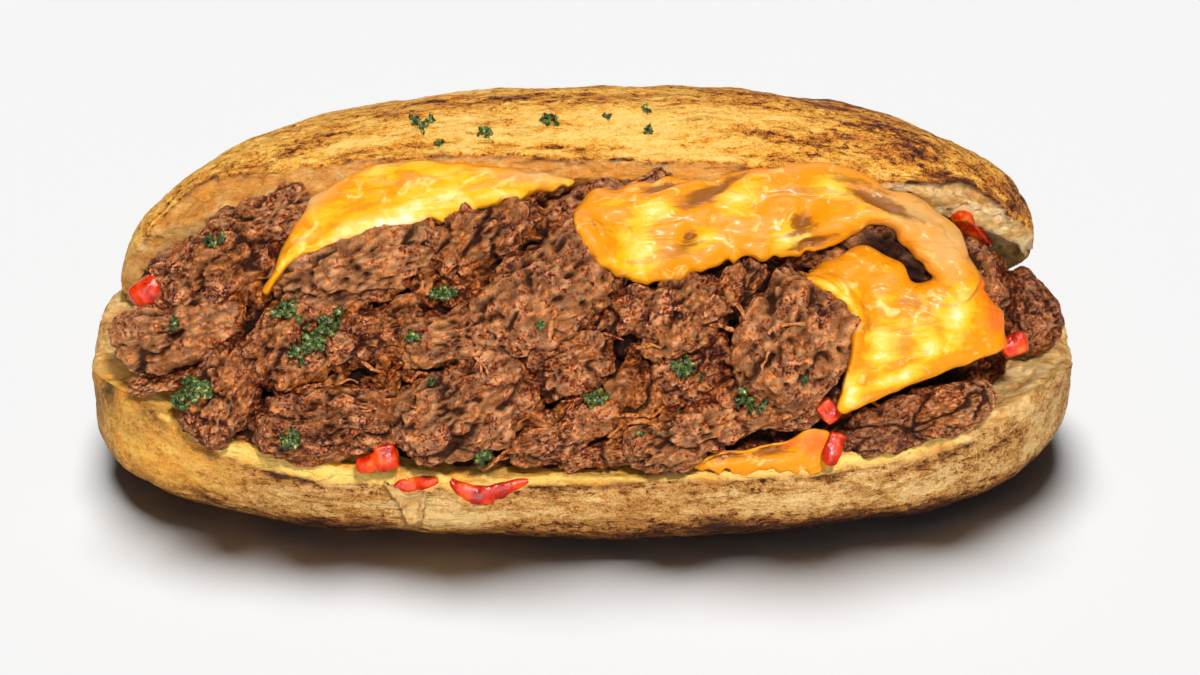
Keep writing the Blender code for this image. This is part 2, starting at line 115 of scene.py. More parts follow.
def lidFrame(x):
    part = (x - lidSizes["shift"]) / lidSizes["halfLength"]
    endTilt = lidSizes["tiltLeft"] if x < 0 else lidSizes["tiltRight"]
    droop = lidSizes["droopLeft"] if x < 0 else lidSizes["droopRight"]
    tilt = math.radians(lidSizes["tilt"] + (endTilt - lidSizes["tilt"]) * part**2)
    height = lidSizes["centreZ"] + lidSizes["lean"] * part - droop * abs(part) ** 3.5
    middle = Vector((x, lidSizes["centreY"] - lidSizes["bow"] * part**2, height))
    return middle, Vector((0, -math.cos(tilt), math.sin(tilt))), Vector((0, math.sin(tilt), math.cos(tilt)))


def lidHalfAt(x):
    return lidSizes["halfWidth"] * share((x - lidSizes["shift"]) / lidSizes["halfLength"], rollSizes["outline"])


# noise at many points at once, from a table of random slopes
draw = np.random.default_rng(3)
shuffle = draw.permutation(512)
slopes = draw.normal(size=(512, 3))
slopes /= np.linalg.norm(slopes, axis=1)[:, None]


def picks(cell):
    first = shuffle[cell[:, 0] & 511]
    return shuffle[(shuffle[(first + cell[:, 1]) & 511] + cell[:, 2]) & 511]


def waves(points, size, seed=0.0):  # smooth, about -1 to 1
    spots = points / np.array(size) + seed * 17.31
    cell = np.floor(spots).astype(np.int64)
    part = spots - cell
    fade = part**3 * (part * (part * 6 - 15) + 10)
    total = np.zeros(len(points))
    for corner in itertools.product((0, 1), repeat=3):
        step = np.array(corner)
        weight = np.where(step, fade, 1 - fade).prod(axis=1)
        total += weight * (slopes[picks(cell + step)] * (part - step)).sum(axis=1)
    return total * 1.7


def layered(points, size, seed=0.0, layers=3):
    return sum(0.5**i * waves(points, np.array(size) / 2**i, seed + i) for i in range(layers))


def cellGaps(points, size, seed=0.0):  # distances to the nearest two scattered centres
    spots = points / np.array(size) + seed * 11.17
    cell = np.floor(spots).astype(np.int64)
    near, second = np.full(len(points), 9.0), np.full(len(points), 9.0)
    for corner in itertools.product((-1, 0, 1), repeat=3):
        key = cell + np.array(corner)
        gap = np.linalg.norm(spots - (key + 0.5 + 0.42 * slopes[picks(key)]), axis=1)
        second = np.minimum(second, np.maximum(near, gap))
        near = np.minimum(near, gap)
    return near, second


def inScene(name, data):
    made = bpy.data.objects.new(name, data)
    scene.collection.objects.link(made)
    return made


def makePiece(name, points, faces):
    mesh = bpy.data.meshes.new(name)
    mesh.from_pydata(np.asarray(points).tolist(), [], faces)
    mesh.shade_smooth()
    return inScene(name, mesh)


def readOut(items, name, width, kind=float):  # one property of every vertex or edge, as rows
    flat = np.empty(len(items) * width, dtype=kind)
    items.foreach_get(name, flat)
    return flat.reshape(-1, width)


def pointsOf(mesh):
    return readOut(mesh.vertices, "co", 3)


def setPoints(mesh, points):
    mesh.vertices.foreach_set("co", np.ascontiguousarray(points).ravel())
    mesh.update()


def normalsOf(mesh):
    return readOut(mesh.vertex_normals, "vector", 3)


def setFields(mesh, **fields):  # numbers for the vertices, which the material reads by these names
    for name, values in fields.items():
        field = mesh.attributes.new(name, "FLOAT", "POINT")
        everywhere = values + np.zeros(len(mesh.vertices))
        field.data.foreach_set("value", np.ascontiguousarray(everywhere, dtype=np.float32))


def lofted(rings, firstTip, lastTip):
    count = len(rings[0])
    points = [tuple(p) for ring in rings for p in ring] + [tuple(firstTip), tuple(lastTip)]
    faces = []
    for r in range(len(rings) - 1):
        for i in range(count):
            j = (i + 1) % count
            faces.append((r * count + i, r * count + j, (r + 1) * count + j, (r + 1) * count + i))
    last = (len(rings) - 1) * count
    for i in range(count):
        j = (i + 1) % count
        faces.append((len(points) - 2, j, i))
        faces.append((len(points) - 1, last + i, last + j))
    return np.array(points), faces


def stacked(shells):  # several closed shells as one list of points and faces
    points, faces, start = [], [], 0
    for shellPoints, shellFaces in shells:
        points.append(np.asarray(shellPoints))
        faces.extend(tuple(i + start for i in face) for face in shellFaces)
        start += len(shellPoints)
    return np.concatenate(points), faces


def faceOutward(piece):
    data = bmesh.new()
    data.from_mesh(piece.data)
    bmesh.ops.recalc_face_normals(data, faces=data.faces)
    if data.calc_volume(signed=True) < 0:
        bmesh.ops.reverse_faces(data, faces=data.faces)
    data.to_mesh(piece.data)
    data.free()


def applied(piece):  # turns modifiers into plain mesh
    bpy.context.view_layer.update()
    graph = bpy.context.evaluated_depsgraph_get()
    made = bpy.data.meshes.new_from_object(piece.evaluated_get(graph))
    piece.modifiers.clear()
    piece.data = made
    made.shade_smooth()


def fused(piece, voxel):  # melts overlapping shells into one even skin
    modifier = piece.modifiers.new("fuse", "REMESH")
    modifier.mode = "VOXEL"
    modifier.voxel_size = voxel
    modifier.use_smooth_shade = True
    applied(piece)


def linksOf(mesh):
    return readOut(mesh.edges, "vertices", 2, np.int64)


def relaxed(values, links, rounds, amount=0.5):  # evens values out over the mesh
    count = len(values)
    degree = np.maximum(np.bincount(links.ravel(), minlength=count), 1)
    result = values.copy()
    for _ in range(rounds):
        for axis in range(result.shape[1]):
            column = result[:, axis]
            total = np.bincount(links[:, 0], weights=column[links[:, 1]], minlength=count)
            total += np.bincount(links[:, 1], weights=column[links[:, 0]], minlength=count)
            result[:, axis] = column + amount * (total / degree - column)
    return result


def hollowness(mesh, rounds):  # above 0 in creases, below 0 on crests
    points = pointsOf(mesh)
    even = relaxed(points, linksOf(mesh), rounds)
    return ((even - points) * normalsOf(mesh)).sum(axis=1)


def bell(value, width):  # 1 at 0, and close to 0 beyond twice the width
    return np.exp(-((value / width) ** 2))


def spotField(u, v, spots):  # 1 in the middle of each listed spot: u, v, half length, half width, turn
    total = np.zeros(len(u))
    for spotU, spotV, length, width, turn in spots:
        c, s = math.cos(math.radians(turn)), math.sin(math.radians(turn))
        du, dv = u / mm - spotU, v / mm - spotV
        along, across = (du * c + dv * s) / length, (dv * c - du * s) / width
        total = np.maximum(total, np.exp(-(along**2) - across**2))
    return total


def edgeLine(u, places):  # the height v of an edge that runs through the places u, v
    return np.interp(u / mm, [place[0] for place in places], [place[1] for place in places])


def feed(tree, node, inputs):  # each input is linked to a socket or set to a value
    for name, value in inputs.items():
        socket = node.inputs[name]
        if isinstance(value, bpy.types.NodeSocket):
            tree.links.new(value, socket)
        elif value is not None:
            socket.default_value = (*value, 1) if socket.type == "RGBA" else value


def addNode(tree, kind, inputs, **settings):
    node = tree.nodes.new(kind)
    for name, value in settings.items():
        setattr(node, name, value)
    feed(tree, node, inputs)
    return node


class Finish:  # a material and the nodes that feed its shader
    def __init__(self, name, roughness, **shaderValues):
        self.material = bpy.data.materials.new(name)
        self.material.use_nodes = True
        self.tree = self.material.node_tree
        self.shader = self.tree.nodes["Principled BSDF"]
        values = {name.replace("_", " "): value for name, value in shaderValues.items()}
        feed(self.tree, self.shader, {"Roughness": roughness, **values})
        self.place = self.tree.nodes.new("ShaderNodeTexCoord").outputs["Object"]

    def add(self, kind, inputs, output, **settings):
        return addNode(self.tree, kind, inputs, **settings).outputs[output]

    def grain(self, scale, detail=4, rough=0.6, stretch=None, distort=0.0):
        place = self.place
        if stretch:
            place = self.add("ShaderNodeMapping", {"Scale": stretch, "Vector": place}, "Vector")
        inputs = {"Scale": scale, "Detail": detail, "Roughness": rough, "Distortion": distort}
        return self.add("ShaderNodeTexNoise", {**inputs, "Vector": place}, "Fac")

    def cells(self, scale, kind="F1"):
        inputs = {"Scale": scale, "Vector": self.place}
        return self.add("ShaderNodeTexVoronoi", inputs, "Distance", feature=kind)

    def field(self, name):
        return self.add("ShaderNodeAttribute", {}, "Fac", attribute_name=name)

    def ramp(self, source, *stops):
        node = addNode(self.tree, "ShaderNodeValToRGB", {"Fac": source})
        band = node.color_ramp
        while len(band.elements) < len(stops):
            band.elements.new(0.5)
        for element, (position, colour) in zip(band.elements, stops):
            element.position = position
            element.color = (*colour, 1)
        return node.outputs["Color"]

    def between(self, source, low, high, start=0.0, end=1.0):  # a field may be given by its name
        value = self.field(source) if isinstance(source, str) else source
        inputs = {"Value": value, "From Min": low, "From Max": high, "To Min": start, "To Max": end}
        return self.add("ShaderNodeMapRange", inputs, "Result")

    def maths(self, kind, first, second):
        return self.add("ShaderNodeMath", {0: first, 1: second}, "Value", operation=kind)

    def times(self, first, second):
        return self.maths("MULTIPLY", first, second)

    def total(self, *parts):
        result = parts[0]
        for part in parts[1:]:
            result = self.maths("ADD", result, part)
        return result

    def mix(self, amount, first, second):
        return self.add("ShaderNodeMix", {0: amount, 6: first, 7: second}, 2, data_type="RGBA")

    def tinted(self, colour, *tints):  # lays each colour over the last by its amount
        for amount, tint in tints:
            colour = self.mix(amount, colour, tint)
        return colour

    def bump(self, height, distance, strength=1.0, under=None):
        inputs = {"Distance": distance, "Strength": strength, "Height": height, "Normal": under}
        return self.add("ShaderNodeBump", inputs, "Normal")

    def finish(self, colour, normal=None, roughness=None):
        feed(self.tree, self.shader, {"Base Color": colour, "Normal": normal, "Roughness": roughness})
        return self.material


noise.seed_set(rollSizes["waveSeed"])  # the solids' own seed, so that both have the same waves


def kneaded(point):
    spot = Vector(point)
    moved = spot + rollSizes["wave"] * noise.noise_vector(spot / rollSizes["waveLength"])
    moved.z = max(0.0, moved.z) if spot.z > 0 else 0.0
    return moved


def edgeGaps(rings, crustCount):  # in mm, how far each point is from the front edge, above 0 on the crust
    gaps = []
    for ring in rings:
        spots = np.array(ring)
        steps = np.linalg.norm(np.roll(spots, -1, axis=0) - spots, axis=1)
        along = np.concatenate([[0], np.cumsum(steps)[:-1]])
        along[crustCount:] -= steps.sum()
        gaps.append(along)
    return np.concatenate(gaps + [[rollSizes["farFromEdge"]] * 2]) / mm


# the lower half of the roll, with the fold behind it
lowerLook = {
    "stations": 290, "crustSteps": 170, "rimSteps": 9, "cutSteps": 62,
    "lump": 0.42 * mm, "wrinkle": 0.30 * mm, "grain": 0.10 * mm, "pore": 0.8 * mm, "peel": 0.55 * mm,
}
heelEdge = (  # where the crust of the lower half ends along the front: places u, v
    (-99, 26), (-93, 18.5), (-84, 10.5), (-74, 4.8), (-66, 1.8), (-62.6, 1.1), (-58.9, 0), (-52.4, -0.55),
    (-46.8, -1.4), (-41.4, -1.2), (-37.5, -3.3), (-32.7, -2.6), (-28.3, -1.6), (-24.5, -4.4), (-21.3, -5.5),
    (-17.4, -3.8), (-12.5, -1.9), (-9.8, -1.4), (3.9, -1.2), (14.7, -0.6), (28.4, -0.4), (39.3, 0.15),
    (50.2, 1.0), (58.4, 2.6), (66.6, 3.6), (78, 6.6), (86, 10.5), (93, 16), (98, 24),
)
toastedSpots = (
    (-88, 12.5, 3.6, 2.0, -35), (-96, 27, 6, 2.0, 70), (-98, 18, 5, 2.5, 75), (60, -8.5, 18, 1.8, 6),
    (30, -9.5, 20, 1.4, 0), (66, 1.2, 9, 1.3, 12), (38, -2.2, 6, 1.0, 0), (76, 4, 9, 1.2, 24),
    (86, 6, 10, 2.2, 34), (-78, -4, 5, 1.4, -25), (-50, -9.5, 12, 1.2, -3), (50, 0.2, 6, 0.8, 6),
)
paleSpots = (
    (-5, -6, 30, 2.6, 0), (38, -5.5, 20, 2.2, 3), (-62, -4, 14, 3, -8), (-84, 4, 10, 4, -35),
    (-30, -8, 10, 3, 0), (93, 12, 5, 6, 60), (70, -3, 9, 1.4, 14),
)


def heelRing(x):
    part = x / rollSizes["halfLength"]
    power = rollSizes["outline"] if part < 0 else rollSizes["outlineRight"]
    half = rollSizes["halfWidth"] * share(part, power)
    widest = rollSizes["widestHeight"] + rollSizes["tipRise"] * part**4
    rise = rollSizes["rimHeight"] - rollSizes["widestHeight"] + rollSizes["rimRise"] * part**2
    rim, inset = widest + rise * share(part, 5), rollSizes["rimInset"] * share(part, 2)
    depth = (widest + rollSizes["sag"]) * share(part, 3.4)
    steps = lowerLook["rimSteps"]
    ring = [(x, -half + inset * up**2, widest + (rim - widest) * up) for up in evenly(1, 1 / steps, steps)]
    for turn in evenly(0, math.pi, lowerLook["crustSteps"]):
        y = -half * signedPower(math.cos(turn), 0.72)
        ring.append((x, y, max(0.0, widest - depth * max(0, math.sin(turn)) ** 0.72)))
    ring += [(x, half - inset * up**2, widest + (rim - widest) * up) for up in evenly(1 / steps, 1, steps)]
    for across in evenly(1, -1, lowerLook["cutSteps"])[1:-1]:
        ring.append((x, across * (half - inset), rim - rollSizes["cutDish"] * (1 - across**2) * share(part, 3)))
    return [kneaded(p) for p in ring]


def foldRing(x):
    part = x / foldSizes["halfLength"]
    radius = foldSizes["radius"] * share(part, 3)
    y = foldSizes["y"] - foldSizes["bend"] * part**4
    turns = evenly(0, 2 * math.pi, 49)[:-1]
    return [(x, y + radius * math.cos(t), foldSizes["z"] + 1.3 * radius * math.sin(t)) for t in turns]


def baked(points, crumb, look, seed):  # how far the baked skin stands out at each point
    crust = look["lump"] * layered(points, 10 * mm, seed)
    creases = np.abs(layered(points, (17 * mm, 3.2 * mm, 3.2 * mm), seed + 4, 2))
    crust -= look["wrinkle"] * bell(creases, 0.09)
    crust += look["grain"] * layered(points, 1.9 * mm, seed + 9, 2)
    near, _ = cellGaps(points, 3.1 * mm, seed + 2)
    pores = 0.45 * mm * layered(points, 5 * mm, seed + 6) - look["pore"] * smoothStep(0.48, 0.12, near)
    return crust * (1 - crumb) + pores * crumb


def makeLowerHalf():
    reach, fold = rollSizes["halfLength"], foldSizes["halfLength"]
    tipHeight = rollSizes["widestHeight"] + rollSizes["tipRise"]
    rings = [heelRing(s * reach) for s in endSpots(lowerLook["stations"])]
    heel = lofted(rings, (-reach, 0, tipHeight), (reach, 0, tipHeight))
    foldTips = [(side * fold, foldSizes["y"] - foldSizes["bend"], foldSizes["z"]) for side in (-1, 1)]
    bead = lofted([foldRing(s * fold) for s in endSpots(foldSizes["stations"])], *foldTips)
    gap = edgeGaps(rings, lowerLook["crustSteps"] + 2 * lowerLook["rimSteps"])
    gap = np.concatenate([gap, np.full(len(bead[0]), rollSizes["farFromEdge"] / mm)])
    piece = makePiece("lowerHalf", *stacked([heel, bead]))
    faceOutward(piece)
    points, normals = pointsOf(piece.data), normalsOf(piece.data)
    u, v, _ = faceCoordinates(points)
    front = smoothStep(3 * mm, -20 * mm, points[:, 1])
    cut = gap < 0
    alongOnly = points * np.array([1, 0, 0])
    edge = edgeLine(u, heelEdge) + 0.25 * layered(alongOnly, 4 * mm, 3)
    edge += 26 * smoothStep(-14 * mm, -2 * mm, points[:, 1])
    above = np.where(cut, 9, np.where((points[:, 1] < 0) & (gap < 16), v / mm - edge, -9))
    crumb = np.where(cut, 1.0, smoothStep(-0.25, 0.25, above))
    rise = baked(points, crumb, lowerLook, 1)
    rise -= np.where(cut, 0, lowerLook["peel"] * smoothStep(-0.2, 0.5, above))
    lip = bell(above + 0.7, 0.55) * ~cut
    torn = bell(u / mm + 29, 12)
    rise += (0.25 + 0.45 * torn) * mm * lip * (1 + 0.6 * layered(alongOnly, 2.5 * mm, 6))
    stripe = bell(above - 1.6, 1.3) * front
    rise += 0.35 * mm * stripe * (1 + 0.5 * layered(alongOnly, 7 * mm, 8))
    furrow = bell(above + 0.35, 0.33) * (1 - 0.75 * smoothStep(-54 * mm, -46 * mm, u))
    furrow *= smoothStep(-68 * mm, -63 * mm, u) * ~cut * (0.8 + 0.5 * waves(alongOnly, 5 * mm, 5))
    rise -= 0.6 * mm * furrow
    rise *= smoothStep(0.4 * mm, 3 * mm, points[:, 2])
    points = points + normals * rise[:, None]
    points[:, 2] = np.maximum(points[:, 2], 0)
    setPoints(piece.data, points)
    height = points[:, 2] / mm
    toast = 0.33 + 0.30 * smoothStep(11, 3, height) * smoothStep(-75 * mm, 30 * mm, u)
    toast += 0.30 * smoothStep(9, 1, height) + 0.55 * furrow + 0.12 * lip
    toast -= 0.12 * torn * smoothStep(12, 6, np.abs(above))
    broken = 0.75 + 0.8 * layered(points, (9 * mm, 2.5 * mm, 2.5 * mm), 17)
    dark = spotField(u, v, toastedSpots)
    toast += (0.38 * dark - 0.20 * spotField(u, v, paleSpots)) * front * broken
    toast += 0.16 * smoothStep(-60 * mm, -90 * mm, u) + 0.12 * (1 - front)
    toast -= 0.10 * smoothStep(20 * mm, 50 * mm, u) * smoothStep(7, 14, height)
    wet = smoothStep(-0.1, 0.4, above) * front * (1 - smoothStep(60 * mm, 84 * mm, u))
    golden = 0.85 * smoothStep(-62 * mm, -88 * mm, u) * smoothStep(3, 14, height) * front * (1 - 0.9 * dark)
    setFields(piece.data, toast=toast, crumb=crumb, stain=np.maximum(wet, golden),
              glaze=smoothStep(1.6, 0.9, np.abs(above - 1.8)) * wet * ~cut)
    return piece


# the upper half, leaning back on the filling
upperLook = {
    "stations": 290, "crustSteps": 160, "cutSteps": 70,
    "lump": 0.50 * mm, "wrinkle": 0.34 * mm, "grain": 0.11 * mm, "pore": 1.0 * mm, "peel": 0.9 * mm,
    "swelling": 3.6 * mm,
}
lidToasted = (
    (52, 78, 16, 2.2, -8), (90, 56, 5, 6, -60), (49, 77, 16, 2, -4), (20, 79, 22, 1.6, 1),
    (-8, 78.5, 20, 1.2, 4), (64, 69, 18, 5, -24), (78, 60, 14, 6, -42), (87, 49, 9, 5, -62),
    (40, 70, 10, 1.2, -5), (-30, 77, 14, 1.2, 9), (-58, 68, 16, 2, 24), (-80, 55, 14, 2, 45),
    (33, 62, 10, 1.3, -12), (-45, 66, 9, 1.2, 14), (-8, 64.5, 14, 1.0, 0), (66, 56, 10, 4, -30),
    (46, 66, 6, 1.5, 10),
)
lidEdge = (  # where the crust of the upper half ends: places u, v
    (-97, 30), (-94.3, 36.4), (-90.4, 49.3), (-84.3, 55.4), (-75.5, 61.1), (-63, 62.4), (-45.4, 64.8),
    (-20, 65), (0, 64.6), (20, 64.2), (45, 62.6), (65.2, 59.8), (77.7, 59.8), (82, 58.5), (87.1, 55.4),
    (89.6, 51.5), (92, 44),
)
# paler crust, and a painted highlight band just above the cheese
lidPale = (
    (20, 66, 26, 2.4, -2), (0, 70, 24, 2.0, 2), (40, 74, 12, 1.3, -6), (-35, 70, 14, 2.2, 10),
    (12, 74, 18, 1.2, 0), (-10, 67, 14, 2, 2), (-62, 61, 10, 2.4, 26),
)
lidStained = (
    (-93, 38, 6, 2, 30), (-86, 44, 4, 1.5, 20), (-76, 51, 8, 1.5, 35), (-45, 60, 20, 2, 15),
    (70, 55, 8, 3, -20),
)


def lidRing(x):
    part = (x - lidSizes["shift"]) / lidSizes["halfLength"]
    half = lidHalfAt(x)
    thick = lidSizes["thickness"] * share(part, lidSizes["powerLeft" if part < 0 else "powerRight"])
    thick *= 1 + lidSizes["fill"] * part
    middle, toFront, toCrust = lidFrame(x)
    ring = []
    for turn in evenly(0, math.pi, upperLook["crustSteps"]):
        along = half * signedPower(math.cos(turn), 0.8)
        ring.append(middle + along * toFront + thick * max(0, math.sin(turn)) ** 0.75 * toCrust)
    for across in evenly(-1, 1, upperLook["cutSteps"])[1:-1]:
        hollow = lidSizes["hollow"] * (1 - across**2) * share(part, 3)
        ring.append(middle + across * half * toFront + hollow * toCrust)
    return [kneaded(p) for p in ring]


def makeUpperHalf():
    reach, shift = lidSizes["halfLength"], lidSizes["shift"]
    rings = [lidRing(s * reach + shift) for s in endSpots(upperLook["stations"])]
    piece = makePiece("upperHalf", *lofted(rings, lidFrame(-reach + shift)[0], lidFrame(reach + shift)[0]))
    faceOutward(piece)
    gap = edgeGaps(rings, upperLook["crustSteps"])
    points, normals = pointsOf(piece.data), normalsOf(piece.data)
    u, v, _ = faceCoordinates(points)
    cut = gap < 0
    alongOnly = points * np.array([1, 0, 0])
    edge = edgeLine(u, lidEdge) + 0.7 * layered(alongOnly, 8 * mm, 12)
    edge += 0.25 * waves(alongOnly, 1.7 * mm, 14)
    above = np.where(cut, -9, np.where(gap < 22, v / mm - edge, 9))
    crumb = np.where(cut, 1.0, 1 - smoothStep(-0.4, 0.3, above))
    rise = baked(points, crumb, upperLook, 20)
    rise -= np.where(cut, 0, upperLook["peel"] * smoothStep(0.3, -1.2, above))
    ends = smoothStep(-50 * mm, -66 * mm, u) + smoothStep(62 * mm, 72 * mm, u)
    rise += upperLook["swelling"] * ends * bell(gap + 6, 4.2) * cut
    rise += 0.5 * mm * bell(above - 0.9, 0.8) * (1 + layered(alongOnly, 3 * mm, 15))
    fringe = bell(above - 2.9 - 1.3 * waves(alongOnly, 15 * mm, 5), 0.45)
    fringe *= smoothStep(-0.1, 0.4, waves(alongOnly, 18 * mm, 8))
    rise -= 0.5 * mm * fringe
    points = points + normals * rise[:, None]
    setPoints(piece.data, points)
    front = normals @ np.array(outOfFace) > -0.25
    toast = 0.20 + 0.10 * smoothStep(10 * mm, 85 * mm, u) + 0.45 * bell(above - 0.1, 0.55) * ~cut
    toast += 0.30 * fringe + 0.18 * (~front)
    broken = 0.7 + 0.9 * layered(points, (10 * mm, 2.4 * mm, 2.4 * mm), 37)
    toast += (0.36 * spotField(u, v, lidToasted) - 0.18 * spotField(u, v, lidPale)) * front * broken
    soaked = 0.12 + 0.75 * smoothStep(66 * mm, 50 * mm, u)
    stain = np.maximum(spotField(u, v, lidStained), soaked) * crumb
    setFields(piece.data, toast=toast, crumb=crumb, stain=stain, glaze=0)
    return piece


def breadMaterial(name, crustStops, crumbStops, stainColours):
    look = Finish(name, 0.6, Specular_IOR_Level=0.25, Subsurface_Weight=0.05,
                  Subsurface_Radius=(0.006, 0.003, 0.001), Subsurface_Scale=1.0)
    streaks = look.grain(300, 6, 0.70, (0.24, 1, 1), 0.7)
    patches = look.grain(85, 6, 0.66, (0.5, 1, 1))
    speckle = look.grain(900, 5, 0.80, (0.55, 1, 1), 0.4)
    dust = look.grain(2400, 3, 0.7)
    splits = look.grain(520, 6, 0.72, (0.20, 1, 1), 1.1)
    cracked = look.times(look.between(splits, 0.565, 0.62), look.between("toast", 0.12, 0.60, 0.10, 0.55))
    flecks = look.times(look.between(speckle, 0.56, 0.63), look.between("toast", 0.10, 0.60, 0.08, 0.60))
    browning = look.total(
        look.field("toast"), look.between(streaks, 0.40, 0.60, -0.14, 0.14),
        look.between(patches, 0.38, 0.62, -0.10, 0.10), look.between(speckle, 0.40, 0.60, -0.13, 0.13),
        look.between(dust, 0.40, 0.60, -0.10, 0.10), cracked, flecks)
    soft = look.grain(260, 6, 0.65, (0.6, 1, 1))
    # the crumb's pores are painted darker, as shade in them
    inside = look.tinted(
        look.ramp(soft, *crumbStops),
        (look.between(look.cells(420), 0.10, 0.26, 0.35, 0.0), (0.50, 0.23, 0.06)),
        (look.between(speckle, 0.54, 0.68, 0.0, 0.35), (0.46, 0.19, 0.04)))
    stain = look.times(look.field("stain"), look.between(patches, 0.34, 0.56, 0.45, 1.0))
    colour = look.tinted(
        look.ramp(browning, *crustStops), (look.field("crumb"), inside),
        (stain, look.mix(look.between(soft, 0.35, 0.68), *stainColours)),
        (look.between("glaze", 0, 1, 0.0, 0.85), (1.0, 0.68, 0.17)))
    relief = look.total(look.times(streaks, 0.9), look.times(speckle, 0.7), look.times(cracked, -0.9),
                        look.times(flecks, -0.4))
    normal = look.bump(dust, 0.0005, 0.7, look.bump(relief, 0.0016, 0.9))
    rough = look.total(look.between(speckle, 0.3, 0.7, 0.58, 0.80), look.times(stain, -0.20))
    return look.finish(colour, normal, rough)


lowerHalf = makeLowerHalf()
upperHalf = makeUpperHalf()
lowerHalf.data.materials.append(breadMaterial(
    "lower crust",
    ((0.02, (0.76, 0.49, 0.19)), (0.24, (0.58, 0.300, 0.082)), (0.44, (0.41, 0.165, 0.030)),
     (0.66, (0.19, 0.056, 0.008)), (0.92, (0.040, 0.010, 0.002))),
    ((0.36, (0.46, 0.19, 0.04)), (0.48, (0.70, 0.38, 0.11)), (0.62, (0.86, 0.58, 0.24))),
    ((0.88, 0.31, 0.020), (1.0, 0.60, 0.10))))
upperHalf.data.materials.append(breadMaterial(
    "upper crust",
    ((0.02, (0.97, 0.59, 0.15)), (0.22, (0.86, 0.42, 0.050)), (0.42, (0.66, 0.235, 0.018)),
     (0.62, (0.30, 0.072, 0.008)), (0.86, (0.055, 0.012, 0.003))),
    ((0.36, (0.54, 0.25, 0.06)), (0.48, (0.80, 0.47, 0.16)), (0.62, (0.96, 0.72, 0.38))),
    ((0.66, 0.19, 0.008), (0.78, 0.34, 0.035))))
print("bread", len(lowerHalf.data.polygons), len(upperHalf.data.polygons))


# the beef: a core behind, chopped pieces on it, and shreds between them
beefSizes = {
    "sink": 3 * mm, "relief": 1.8 * mm, "fold": 1.2 * mm, "fissure": 1.7 * mm, "granule": 0.22 * mm,
    "plate": 1.0 * mm, "crack": 1.3 * mm,
    "fine": 0.17 * mm, "detail": 5, "seed": 7, "swell": 1.06, "scraps": 120, "foot": 1.8 * mm,
}
# each piece: centre u, centre v, lift, half length, half width, half thickness, turn
beefPieces = (
    (-65, 53, -3, 13, 5.5, 6, 24), (-75, 43, -2, 15, 7.5, 7, 26), (-82, 30, -1, 13.5, 7, 7, 16),
    (-73, 17, 0, 11, 7, 7, 62), (-85, 20.5, -2, 8.5, 3.2, 4, 20), (-44, 44, 0, 18, 8, 7.5, 22),
    (-58, 28, 0, 12, 8, 7, 38), (-41, 30, -1, 13, 6, 6, 14), (-50, 11.5, 1, 16, 7.5, 7, 6),
    (-21, 50, 0, 12, 8, 7, 34), (-7, 37, 2, 16, 10, 8.5, 36), (-24, 29, 0, 14, 6, 6.5, 14),
    (-23, 14.5, 2, 16, 9, 8, 30), (-3, 23.5, 1, 9, 6, 6.5, 14), (-3, 10.5, 0, 12.5, 5.5, 6, 26),
    (5, 5.5, -1, 10, 3.5, 4, 14), (9, 35, 0, 7.5, 5, 5.5, 22), (20, 33, 1, 10, 8, 7.5, 40),
    (43, 28, 2, 13, 11.5, 8.5, 60), (23, 22, 0, 9.5, 5.5, 6, 28), (21, 9, 1, 12, 6, 6.5, 24),
    (38, 14.5, -1, 12, 5, 5.5, 12), (12, 18, -2, 7, 6, 5, 60), (32, 38, -2, 7.5, 5, 5.5, 50),
    (6, 56, -2, 14, 5, 6, 16), (60, 46, -3, 15, 9, 7, -20), (72, 36, -4, 15, 11, 7, 40),
    (-28, 57, -3, 24, 5, 6, 6), (-25, 39.5, -2.5, 8.5, 4, 5, 22),
)
coreSection = ((1, -5), (16, 2.6), (31, 4.8), (46, 2.2), (58, -4), (54, -31), (44, -57), (34, -59), (17, -37))

underCheese = ((62, 47, 8, 4, -20), (68, 42, 4, 6, 0))  # painted shade in the gap between the two lobes of cheese


def ballShell(detail):
    data = bmesh.new()
    bmesh.ops.create_icosphere(data, subdivisions=detail, radius=1)
    points = np.array([tuple(v.co.normalized()) for v in data.verts])
    faces = [tuple(v.index for v in f.verts) for f in data.faces]
    data.free()
    return points, faces


ballShells = {detail: ballShell(detail) for detail in (3, 4, 5, 6)}


def lumpShell(halfSizes, seed, relief, detail):  # the same lumps as the solids, finer
    balls, faces = ballShells[detail]
    shift = Vector((seed * 7.31, seed * 3.17, seed * 5.73))
    points = balls * np.array(halfSizes) * np.abs(balls).max(axis=1)[:, None] ** -0.35
    bump = [noise.noise(p / (9 * mm) + shift) + 0.5 * noise.noise(p / (4 * mm) + shift)
            for p in map(Vector, points)]
    return points, balls, balls * (relief * np.array(bump))[:, None], faces


def putIn(place, points):
    return points @ np.array(place.to_3x3()).T + np.array(place.translation)


